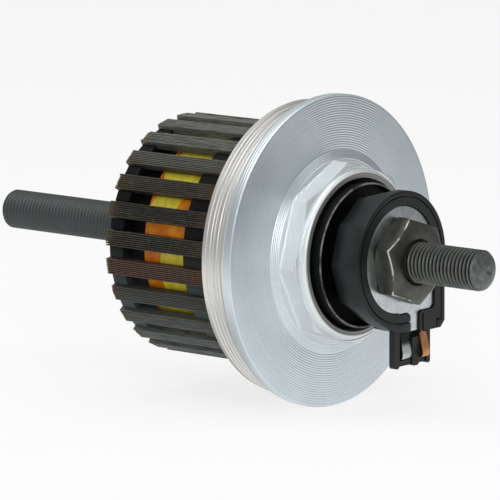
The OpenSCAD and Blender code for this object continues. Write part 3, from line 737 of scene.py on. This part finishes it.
# %% Make the finishes
finishes = {
    "cap_aluminium": turned_aluminium(),
    "black_steel": blackened_thread(),
    "bronzed_steel": bronzed_nut(),
    "bright_steel": plated_steel(),
    "hard_steel": bearing_steel(),
    "sheet_steel": stacked_sheets(),
    "black_plastic": moulded("moulded_black", colour(21, 24, 25), 0.36, 0.22),
    "black_rubber": moulded("seal_rubber", colour(20, 20, 20), 0.62, 0.4),
    "yellow_tape": film_tape("yellow_film", colour(232, 216, 68), colour(210, 190, 48)),
    "copper": strip_metal("copper_strip", colour(218, 156, 104), colour(194, 134, 86), -17),
    "cage_brass": strip_metal("cage_brass", colour(206, 176, 106), colour(140, 112, 60)),
    "red_lead": moulded("red_insulation", colour(150, 26, 20), 0.42, 0.5),
    "black_lead": moulded("black_insulation", colour(32, 32, 33), 0.42, 0.5),
    "orange_film": film_tape("orange_film", colour(236, 146, 8), colour(206, 106, 0)),
    # Painted shade: the spacer's black is darker than the moulded black.
    "shaded_black": moulded("shaded_black", colour(9, 10, 10), 0.42, 0.22, 0.12),
    # Painted shade and painted light: the bobbin's black is darker than the moulded black, and its
    # lower blocks are lighter.
    "bobbin_painted_shade_and_light": moulded(
        "bobbin_painted_shade_and_light", colour(9, 10, 10), 0.42, 0.22, 0.12, colour(74, 82, 83)
    ),
    "cover_painted_shade_and_highlight": cover_painted_shade_and_highlight(),
    "plated_leaf": strip_metal(
        "plated_leaf", colour(214, 218, 220), colour(176, 180, 182), -20.1, 2, colour(38, 40, 40)
    ),
}
print("finishes:", len(finishes))

# %% [markdown]
# ## Handing a piece over
# A finished piece gets the finish of its material slot, rides on the CAD body that it belongs
# to, hides the nodes that it stands for, and prints which they are.

# %% Hand a piece over
body_of = {
    node: body
    for body, nodes in frame["record"]["behaviour"]["bodies"].items()
    for node in nodes
}


def hand_over(piece, slot, *nodes, finish=None):
    piece.data.materials.clear()
    piece.data.materials.append(finishes[finish or slot])
    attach(piece, body_of[nodes[0]])
    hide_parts(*nodes)
    print(piece.name, "stands for", ", ".join(nodes), "faces", len(piece.data.polygons))
    return piece


# %% [markdown]
# ## The end cap
# The cap is one turned and milled piece. Its lathe shape comes first: collar, pad, flange, the
# seat with its groove, the ring that carries the thread, and the hub with the bearing's bore.
# A few of the outline's corners are rounded before the spin. The collar and the rim's rear edge
# have their rounding drawn in, point by point. All of them catch light.

# %% Spin the cap
CAP_OUTLINE = [
    (16.75, -9.9), (17.7, -9.9), (17.86, -9.84), (18.34, -9.36), (18.4, -9.2), (18.4, -4.3),
    (20.5, -4.3), (22.3, -3.3), (34.3, -2.6), (34.3, -0.6), (34.25, -0.37), (34.12, -0.18),
    (33.93, -0.05), (33.7, 0), (32.6, 0), (32.6, -0.3), (32.2, -0.3), (32.2, 7.3), (31.8, 7.7),
    (29.5, 7.7), (29.5, 0.8), (17.5, 0.8), (17.5, 4), (12.5, 4), (12.5, 2.5),
    (14.5, 2.5), (14.5, -5.4), (16.75, -5.4),
]
CAP_ROUNDED = {8, 19, 22, 23}
cap = drawn("end_cap_turned", CAP_OUTLINE)
softened(cap, 0.35, CAP_ROUNDED)
spun(cap, 192)
print("cap faces:", len(cap.data.polygons))

# %% [markdown]
# ## The octagon
# The spanner octagon is milled from the same bar. It starts as an eight-sided cylinder. Its long
# edges are rounded, a cone takes off its corners as the lathe does, a bore clears the collar,
# and its foot flares into a small fillet. A union joins it to the turned shape.

# %% Mill the octagon
BOSS_TOP = -8.5
BOSS_FOOT = -4.2
BOSS_CORNER = 37.6 / 2 / math.cos(math.pi / 8)
BOSS_TURN = math.radians(4.5)
FOOT_FLARE = ((0.5, 1.006), (0.28, 1.014), (0.12, 1.021), (0.8, 1.0))
CORNER_CONE = (19.3, 29.9)
PAD_EDGE_R = 20.5
COLLAR_ROOM_R = 17.6


def along_axle(name, low, high, sides, radius, end_radius=None, turn=0.0):
    """A cylinder or cone about the axle between two places along it, in millimetres."""
    clear_selection()
    bpy.ops.mesh.primitive_cone_add(
        vertices=sides,
        radius1=(radius if end_radius is None else end_radius) * MM,
        radius2=radius * MM,
        depth=(high - low) * MM,
        location=(0, (low + high) / 2 * MM, 0),
        rotation=(math.pi / 2, -turn, 0),
    )
    return place_in_mesh(named(name))


boss = along_axle("boss", BOSS_TOP, BOSS_FOOT, 8, BOSS_CORNER, turn=BOSS_TURN)
edit(boss)
pick(
    boss,
    "EDGE",
    lambda e: abs(
        boss.data.vertices[e.vertices[0]].co.y - boss.data.vertices[e.vertices[1]].co.y
    ) > MM,
)
bpy.ops.mesh.bevel(offset=0.35 * MM, segments=3)
pick(boss, "FACE", lambda f: f.center.y > (BOSS_FOOT - 0.01) * MM and abs(f.normal.y) > 0.9)
bpy.ops.transform.translate(value=(0, -0.9 * MM, 0))
for lift, grown in FOOT_FLARE:
    bpy.ops.mesh.extrude_region_move(TRANSFORM_OT_translate={"value": (0, lift * MM, 0)})
    bpy.ops.transform.resize(value=(grown, 1, grown), center_override=(0, BOSS_FOOT * MM, 0))
leave_edit()
outward(boss)
corner_cone = along_axle("corner_cone", BOSS_TOP, BOSS_FOOT + 1, 128, *CORNER_CONE)
combined(boss, corner_cone, "INTERSECT")
pad_edge = along_axle("pad_edge", BOSS_TOP - 1, BOSS_FOOT + 2, 192, PAD_EDGE_R)
combined(boss, pad_edge, "INTERSECT")
collar_room = along_axle("collar_room", BOSS_TOP - 1, BOSS_FOOT + 1, 96, COLLAR_ROOM_R)
combined(boss, collar_room, "DIFFERENCE")
combined(cap, boss, "UNION")
outward(cap)
print("cap with octagon:", len(cap.data.polygons), "faces")

# %% [markdown]
# ## The thread that screws into the hub
# Six ridges show between the flange and the stator. On the real cap they are one helix. The
# ridge's section is drawn once and swept by a Screw modifier, which turns it about the axle and
# lifts it by one pitch a turn. At both ends the ridge runs out into the ring.

# %% Sweep a thread ridge
def turns_from(point, start_y, pitch):
    """How many turns a point of a helix lies from the helix's start."""
    angle = math.atan2(-point.z, point.x) / math.tau % 1
    return angle + round((point.y / MM - start_y) / pitch - angle)


def swept(piece, pitch, turns, steps):
    return apply_modifier(
        piece,
        "SCREW",
        axis="Y",
        angle=math.tau,
        screw_offset=pitch * MM,
        iterations=turns,
        steps=steps,
        render_steps=steps,
        use_merge_vertices=True,
        merge_threshold=0.002 * MM,
        use_normal_calculate=True,
    )


SHELL_PITCH = 1.0
SHELL_START = 0.75
SHELL_TURNS = 6
SHELL_ROOT_R = 32.1
SHELL_CREST_R = 32.5
ridge = drawn(
    "shell_ridge",
    [
        (SHELL_ROOT_R, SHELL_START - 0.42), (SHELL_CREST_R, SHELL_START - 0.14),
        (SHELL_CREST_R, SHELL_START + 0.14), (SHELL_ROOT_R, SHELL_START + 0.42),
    ],
)
swept(ridge, SHELL_PITCH, SHELL_TURNS, 128)
edit(ridge)
bpy.ops.mesh.select_all(action="DESELECT")
bpy.ops.mesh.select_mode(type="EDGE")
bpy.ops.mesh.select_non_manifold()
bpy.ops.mesh.fill()
leave_edit()
outward(ridge)
ends = [turns_from(v.co, SHELL_START, SHELL_PITCH) for v in ridge.data.vertices]
print("ridge turns:", round(min(ends), 2), "to", round(max(ends), 2))
cap = joined([cap, ridge], "end_cap_turned")
smooth(cap, math.radians(25))
hand_over(cap, "cap_aluminium", "end_cap")

# %% [markdown]
# ## The axle's thread
# The axle is threaded at both ends, 1 mm a turn. One pitch of the thread's outline is swept into
# a helix whose turns join edge to edge, so the result is one skin. Planes cut it off and fill
# the cuts, and a turned form with a domed tip and a centre mark is left by an intersection.

# %% Roll a threaded rod
THREAD_PITCH = 1.0
NEAR_OUTLINE = [
    (4.45, 0), (4.45, 0.16), (4.4, 0.22), (3.92, 0.46), (3.88, 0.56), (3.92, 0.66), (4.4, 0.94),
    (4.45, 1.0),
]
FAR_OUTLINE = [
    (4.45, 0), (4.45, 0.34), (4.4, 0.42), (4.23, 0.56), (4.2, 0.62), (4.23, 0.68), (4.4, 0.92),
    (4.45, 1.0),
]
TIP_OUTLINE = [
    (0, 0.75), (0.7, 0.06), (0.9, 0), (1.3, 0.05), (2.2, 0.3), (3.2, 0.72), (3.9, 1.15), (4.5, 1.8)
]


def threaded_rod(name, turn_outline, tip, end):
    """A threaded rod from its domed tip to its far end, both places along the axle."""
    low, high = min(tip, end), max(tip, end)
    inward = 1 if end > tip else -1
    start = low - 2
    rod = drawn(name, [(r, start + y) for r, y in turn_outline], closed=False)
    swept(rod, THREAD_PITCH, int(high - low) + 4, 40)
    for place, direction in ((low - 0.5, -1), (high + 0.5, 1)):
        edit(rod)
        bpy.ops.mesh.bisect(
            plane_co=(0, place * MM, 0),
            plane_no=(0, direction, 0),
            clear_outer=True,
            use_fill=True,
        )
        leave_edit()
    outward(rod)
    outline = [(r, tip + inward * y) for r, y in TIP_OUTLINE]
    form = drawn(name + "_form", outline + [(4.5, end), (0, end)])
    spun(form, 64)
    return combined(rod, form, "INTERSECT")


NEAR_THREAD = (-45.4, -25.9)
FAR_THREAD = (94.6, 45.6)
near_thread = threaded_rod("near_thread", NEAR_OUTLINE, *NEAR_THREAD)
far_thread = threaded_rod("far_thread", FAR_OUTLINE, *FAR_THREAD)
print("thread faces:", len(near_thread.data.polygons), len(far_thread.data.polygons))

# %% [markdown]
# Between the threads the axle is plain, with a milled groove for the live lead. The three
# lengths overlap a little inside the nuts and are joined into one piece.

# %% Mill the groove and join the axle
PLAIN_LENGTH = (-26.3, 46)
GROOVE_MIDDLE_Y = -0.7
GROOVE_SIZE = (1.6, 37, 3)
plain = along_axle("axle_plain", *PLAIN_LENGTH, 96, CREST_R)
clear_selection()
bpy.ops.mesh.primitive_cube_add(size=MM, location=(0, GROOVE_MIDDLE_Y * MM, -CREST_R * MM))
groove = named("groove_cutter")
groove.scale = GROOVE_SIZE
place_in_mesh(groove)
combined(plain, groove, "DIFFERENCE")
outward(plain)
axle = joined([near_thread, plain, far_thread], "axle_threaded")
smooth(axle)
hand_over(axle, "black_steel", "axle")

# %% [markdown]
# ## One steel sheet, and a claw of eight
# A claw is eight stamped sheets side by side: a leg that runs in to the core and a bar that lies
# along the coil. A sheet starts as a plane the size of the leg. A bisect marks where the bar
# leaves it, the bar's edge is extruded along the axle, and the outline is given its thickness
# and a fine bevel.

# %% Stamp one sheet
CORE_R = 9.6
BAR_OUT = 26.73
BAR_IN = 24.73
LEG_T = 3.5
CLAW_W = 3.65
SHEETS = 8
SHEET_GAP = 0.15
SHEET_T = CLAW_W / SHEETS - SHEET_GAP

clear_selection()
bpy.ops.mesh.primitive_plane_add(
    size=MM,
    location=((CORE_R + BAR_OUT) / 2 * MM, (STATOR_Y[1] - LEG_T / 2) * MM, 0),
)
sheet = named("sheet")
sheet.scale = (BAR_OUT - CORE_R, LEG_T, 1)
place_in_mesh(sheet)
edit(sheet)
bpy.ops.mesh.bisect(plane_co=(BAR_IN * MM, 0, 0), plane_no=(1, 0, 0))


def is_bar_root(edge):
    ends = [sheet.data.vertices[i].co for i in edge.vertices]
    inner = (STATOR_Y[1] - LEG_T + 0.01) * MM
    return all(p.y < inner and p.x > (BAR_IN - 0.01) * MM for p in ends)


pick(sheet, "EDGE", is_bar_root)
reach = STATOR_Y[1] - STATOR_Y[0] - LEG_T
bpy.ops.mesh.extrude_region_move(TRANSFORM_OT_translate={"value": (0, -reach * MM, 0)})
bpy.ops.mesh.select_all(action="SELECT")
bpy.ops.mesh.extrude_region_move(TRANSFORM_OT_translate={"value": (0, 0, SHEET_T * MM)})
leave_edit()
outward(sheet)
edit(sheet)
bpy.ops.mesh.select_mode(type="FACE")
bpy.ops.mesh.dissolve_limited(angle_limit=math.radians(0.4))
leave_edit()
rounded(sheet, 0.05, 1)
print("sheet faces:", len(sheet.data.polygons))

# %% [markdown]
# The sheets are never flush: each one is pushed in by a few hundredths of a millimetre and ends
# a little short. The random numbers have a fixed seed, so that every run gives the same claws.
# A right claw is the same stack turned end for end, half a step round.

# %% Stack the claws
SEED = 5
SHORT_BY = 0.28
SUNK_BY = 0.08
MIDDLE_Y = sum(STATOR_Y) / 2
draw = random.Random(SEED)


def stacked_claw(name):
    stack = []
    for i in range(SHEETS):
        copy = bpy.data.objects.new(name, sheet.data.copy())
        bpy.context.scene.collection.objects.link(copy)
        short = draw.uniform(0, SHORT_BY)
        sunk = draw.uniform(0, SUNK_BY)
        lift = -CLAW_W / 2 + (i + 0.5) * CLAW_W / SHEETS - SHEET_T / 2
        for point in copy.data.vertices:
            if point.co.y < (STATOR_Y[0] + 1) * MM:
                point.co.y += short * MM
            if point.co.x > (BAR_OUT - 0.3) * MM:
                point.co.x -= sunk * MM
            point.co.z += lift * MM
        stack.append(copy)
    return joined(stack, name)


for i in range(26):
    side = "left" if i % 2 == 0 else "right"
    node = f"{side}_claw_{i // 2 + 1:02d}"
    claw = stacked_claw(node + "_sheets")
    if side == "right":
        turn_over = Matrix.Rotation(math.pi, 4, "X")
        middle = Matrix.Translation((0, MIDDLE_Y * MM, 0))
        claw.data.transform(middle @ turn_over @ middle.inverted())
    angle = math.radians(CLAW_START + i * CLAW_STEP)
    claw.data.transform(Matrix.Rotation(-angle, 4, "Y"))
    hand_over(claw, "sheet_steel", node)
bpy.data.objects.remove(sheet)

# %% [markdown]
# ## The tape round the coil
# The coil is wrapped twice: orange film over its whole width, then yellow film in lengths that
# leave some of it bare. Each length starts as an open cylinder. Faces outside its stretch are
# deleted, slanted planes trim its edges, and Solidify gives the film its thickness.

# %% Wrap the tape
FILM_T = 0.07
COIL_Y = (18.3, 31.6)


def wrapped_film(name, radius, arc, edges, slant):
    """Film between two angles, trimmed at two places along the axle with slanting cuts."""
    clear_selection()
    bpy.ops.mesh.primitive_cylinder_add(
        vertices=180,
        radius=radius * MM,
        depth=(COIL_Y[1] - COIL_Y[0]) * MM,
        end_fill_type="NOTHING",
        location=(0, sum(COIL_Y) / 2 * MM, 0),
        rotation=(math.pi / 2, 0, 0),
    )
    film = place_in_mesh(named(name))
    middle = math.radians(sum(arc) / 2)
    half = math.radians((arc[1] - arc[0]) / 2)

    def outside(face):
        away = math.atan2(face.center.z, face.center.x) - middle
        return abs((away + math.pi) % math.tau - math.pi) > half

    edit(film)
    pick(film, "FACE", outside)
    if half < math.pi:
        bpy.ops.mesh.delete(type="FACE")
    spot = Vector((math.cos(middle) * radius, 0, math.sin(middle) * radius)) * MM
    across = Vector((-math.sin(middle), 0, math.cos(middle)))
    for place, direction in zip(edges, (-1, 1)):
        bpy.ops.mesh.select_all(action="SELECT")
        bpy.ops.mesh.bisect(
            plane_co=spot + Vector((0, place * MM, 0)),
            plane_no=Vector((0, direction, 0)) + across * slant * direction,
            clear_outer=True,
        )
    leave_edit()
    outward(film)
    apply_modifier(film, "SOLIDIFY", thickness=FILM_T * MM, offset=0)
    return smooth(film)


# (first angle, last angle), (right edge, left edge), slant, distance from the axle
YELLOW_LENGTHS = [
    ((92, 135), (20.7, 30.2), 0.06, 23.72),
    ((134, 149), (19.1, 30.2), 0.35, 23.8),
    ((148, 162), (23.4, 30.9), -0.45, 23.72),
    ((163, 175), (30.0, 30.16), 0.1, 23.72),
    ((176, 190), (19.9, 26.8), -0.12, 23.72),
    ((189, 204), (20.1, 26.9), 0.14, 23.8),
    ((204, 262), (18.9, 30.8), -0.02, 23.72),
    ((268, 352), (18.7, 30.6), 0.015, 23.72),
    ((350, 448), (18.9, 31.2), -0.01, 23.8),
]
ORANGE_R = 23.58
orange = wrapped_film("orange_tape", ORANGE_R, (0, 360), COIL_Y, 0)
lengths = [
    wrapped_film("yellow_length", radius, arc, edges, slant)
    for arc, edges, slant, radius in YELLOW_LENGTHS
]
yellow = joined(lengths, "yellow_tape")
orange.data.materials.append(finishes["orange_film"])
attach(orange, "axle_and_stator")
hand_over(yellow, "yellow_tape", "coil_tape")

# %% [markdown]
# ## The leads
# Two insulated leads leave the coil: the live one runs through the axle's groove to the copper
# contact, and the ground one goes to the tag under the left clamp nut. A route is drawn point by
# point, its corners are rounded, and it becomes a curve with a round section.

# %% Run the leads
LEAD_R = 0.58
GROUND_TURN = math.radians(CLAW_START - CLAW_STEP)
LIVE_ROUTE = [
    (0, 18.3, -12), (0, 17.6, -12), (0, 17, -11.4), (0, 17, -4.4), (0, 16.3, -3.75),
    (0, -17.5, -3.75), (0, -18.4, -4.6), (0, -18.4, -8), (1, -18.4, -9.4),
    (6.2, -18.4, -12.3), (7.1, -18.8, -12.75), (7.1, -19.4, -12.75),
]
GROUND_ROUTE = [(12, 31.6, 0), (12, 41.4, 0), (11.8, 42, 0), (11.4, 42.25, 0), (10.8, 42.3, 0)]


def insulated(name, route, slot, node):
    piece = drawn(name, route, closed=False)
    softened(piece, 0.35, set(range(1, len(route) - 1)))
    work_on(piece)
    bpy.ops.object.convert(target="CURVE")
    curve = bpy.context.object.data
    curve.bevel_depth = LEAD_R * MM
    curve.bevel_resolution = 3
    curve.use_fill_caps = True
    bpy.ops.object.convert(target="MESH")
    piece = named(name)
    outward(piece)
    smooth(piece)
    return hand_over(piece, slot, node)


def turned_route(points):
    c, s = math.cos(GROUND_TURN), math.sin(GROUND_TURN)
    return [(x * c - z * s, y, x * s + z * c) for x, y, z in points]


insulated("live_lead_run", LIVE_ROUTE, "red_lead", "live_lead")
insulated("ground_lead_run", turned_route(GROUND_ROUTE), "black_lead", "ground_lead")

# %% [markdown]
# ## The lamp frame's left bar
# On the real connector the left bar of the frame runs up to the sleeve without a gap. In CAD it
# ends just below. The stub that closes the gap is a small block, joined to a copy of the terminal
# block. Its top lies just inside the sleeve's wall. After this union the clamp leaves the
# block's rounding no width.

# %% Lengthen the left bar
STUB_AT = (-1.3, -20.7, -16.1)
STUB_SIZE = (1.6, 1.6, 1.2)
block = cleaned_copy("terminal_block")
clear_selection()
bpy.ops.mesh.primitive_cube_add(size=MM, location=[part * MM for part in STUB_AT])
stub = named("bar_stub")
stub.scale = STUB_SIZE
place_in_mesh(stub)
combined(block, stub, "UNION")
outward(block)
reshaped = {"terminal_block": block}

# %% [markdown]
# ## The rest of the stack
# Nuts, washers, plate, connector, contacts, bobbin and bearing keep their CAD shape. Each gets a
# cleaned copy with its edges rounded as far as the clamp allows. The widths that are asked are
# wide on the nuts and fine on the sheet metal.

# %% Round and finish the other pieces
# node: (material slot, width asked for its rounded edges)
EDGES = {
    "lock_nut": ("bronzed_steel", 0.22),
    "ground_plate": ("bright_steel", 0.12),
    "connector_sleeve": ("black_plastic", 0.16),
    "terminal_block": ("black_plastic", 0.08),
    "ground_contact": ("bright_steel", 0.05),
    "live_contact": ("copper", 0.05),
    "thrust_washer": ("bright_steel", 0.12),
    "spacer": ("black_plastic", 0.15),
    "dust_cover": ("black_plastic", 0.12),
    "seal_ring": ("black_rubber", 0.1),
    "bearing_cone": ("hard_steel", 0.12),
    "bearing_cup": ("hard_steel", 0.12),
    "ball_retainer": ("cage_brass", 0.08),
    "core_tube": ("sheet_steel", 0.1),
    "bobbin": ("black_plastic", 0.1),
    "clamp_washer_right": ("bright_steel", 0.1),
    "clamp_nut_right": ("bright_steel", 0.16),
    "clamp_washer_left": ("bright_steel", 0.1),
    "clamp_nut_left": ("bright_steel", 0.16),
    "ground_tag": ("bright_steel", 0.06),
}
own_finish = {
    "spacer": "shaded_black",
    "bobbin": "bobbin_painted_shade_and_light",
    "dust_cover": "cover_painted_shade_and_highlight",
    "ground_contact": "plated_leaf",
}
for node, (slot, width) in EDGES.items():
    piece = reshaped[node] if node in reshaped else cleaned_copy(node)
    hand_over(rounded(piece, width), slot, node, finish=own_finish.get(node))

# %% [markdown]
# The balls and the coil under its tape already have the right shape, so the CAD nodes stay and
# only take a finish.

# %% Finish the nodes that stay
for node, slot in (("bearing_balls", "hard_steel"), ("coil", "copper")):
    for holder in frame["nodes"][node].material_slots:
        holder.material = finishes[slot]

# %% [markdown]
# ## The studio
# The part stands on its flange on a pale floor under large soft lamps. The camera sees the floor
# and the room white, and the floor still takes a shadow. In a mirror ray the floor is white near
# the part and grey far off, with a painted shadow under the stator, and the room is darker before
# the cap than behind it. That gives the turned face its soft gradient from top to bottom.

# %% Floor, room and lamps
FLOOR_Z = -34.3
clear_selection()
bpy.ops.mesh.primitive_plane_add(size=6, location=(0, 0, FLOOR_Z * MM))
floor = named("studio_floor")
material, place = new_finish("pale_floor")
direct, glossy, through = [
    place.node("LightPath", {}, {}, kind)
    for kind in ("Is Camera Ray", "Is Glossy Ray", "Is Transmission Ray")
]
x, y, z = parts_of(place)
reach = (x * x + y * y) ** 0.5
distant = blend(mask(y, -60, 60), colour(142, 142, 142), colour(168, 168, 168))
mirrored = blend(mask(reach, 110, 600), colour(252, 252, 252), distant)
# Painted shadow: in a mirror ray the floor is darker under the stator, near the part.
painted_stator_shadow = mask(y, 2, 14) * (1 - mask(reach, 45, 90))
mirrored = blend(painted_stator_shadow, mirrored, colour(186, 186, 186))
matt = place.node(
    "BsdfDiffuse",
    {},
    {"Color": blend(noise(place, 60), colour(240, 240, 240), colour(246, 246, 246))},
)
white = colour(255, 255, 255)
glow = place.node("Emission", {}, {"Color": blend(direct, mirrored, white), "Strength": 1.0})
seen = direct.maths("MAXIMUM", glossy).maths("MAXIMUM", through)
mixed = place.node("MixShader", {}, {0: 0.8 * seen, 1: matt, 2: glow})
place.node("OutputMaterial", {}, {"Surface": mixed})
floor.data.materials.append(material)

world = bpy.data.worlds.new("studio_room")
world.use_nodes = True
world.node_tree.nodes.clear()
bpy.context.scene.world = world
ray = add_node(world.node_tree, "LightPath", {}, {}, "Is Camera Ray")
glossy = ray.node("LightPath", {}, {}, "Is Glossy Ray")
direction = ray.node("TexCoord", {}, {}, "Generated")
height = ray.node("SeparateXYZ", {}, {0: direction}, "Z")
behind = mask(ray.node("SeparateXYZ", {}, {0: direction}, "Y"), -0.2, 0.2)
wall = 0.3 + (0.12 + 0.34 * mask(height, 0.42, 0.75)) * behind
level = ray + (1 - ray) * (glossy * wall + (1 - glossy) * 0.5)
back = ray.node("Background", {}, {"Color": (1, 1, 1, 1), "Strength": level})
ray.node("OutputWorld", {}, {"Surface": back})


def lamp(name, at, size, power):
    """A square soft lamp that points at the stator's middle."""
    clear_selection()
    spot = Vector(at) * MM
    aim = (Vector((0, 10 * MM, 0)) - spot).to_track_quat("-Z", "Y").to_euler()
    bpy.ops.object.light_add(type="AREA", location=spot, rotation=aim)
    light = bpy.context.object
    light.name = name
    light.data.size = size * MM
    light.data.energy = power


lamp("key_lamp", (-770, -710, 420), 650, 4.6)
lamp("top_lamp", (-300, 60, 900), 700, 3.0)
lamp("fill_lamp", (250, -300, 900), 600, 1.2)
print("lamps:", len(bpy.data.lights))

# %% [markdown]
# ## The camera
# The camera was fitted to outlines in the photograph: it stands a metre away, a little above the
# axle, and looks at the cap from its front and the stator's side. Three directions turn it: its
# right, its top, and the way back from the picture.

# %% Camera
CAMERA_AT = Vector((-782.60, -655.72, 167.71)) * MM
RIGHT = Vector((0.6537, -0.7567, -0.0048))
UP = Vector((0.1257, 0.1024, 0.9868))
BACK = Vector((-0.7462, -0.6457, 0.1621))
camera_data = bpy.data.cameras.new("camera")
camera = bpy.data.objects.new("camera", camera_data)
bpy.context.scene.collection.objects.link(camera)
turn = Matrix((RIGHT, UP, BACK)).transposed().to_4x4()
camera.matrix_world = Matrix.Translation(CAMERA_AT) @ turn
camera_data.lens = 341.49
camera_data.sensor_width = 36
camera_data.clip_start = 0.05
camera_data.clip_end = 20
bpy.context.scene.camera = camera
bpy.context.scene.view_settings.view_transform = "Standard"
print("camera lens:", camera_data.lens)
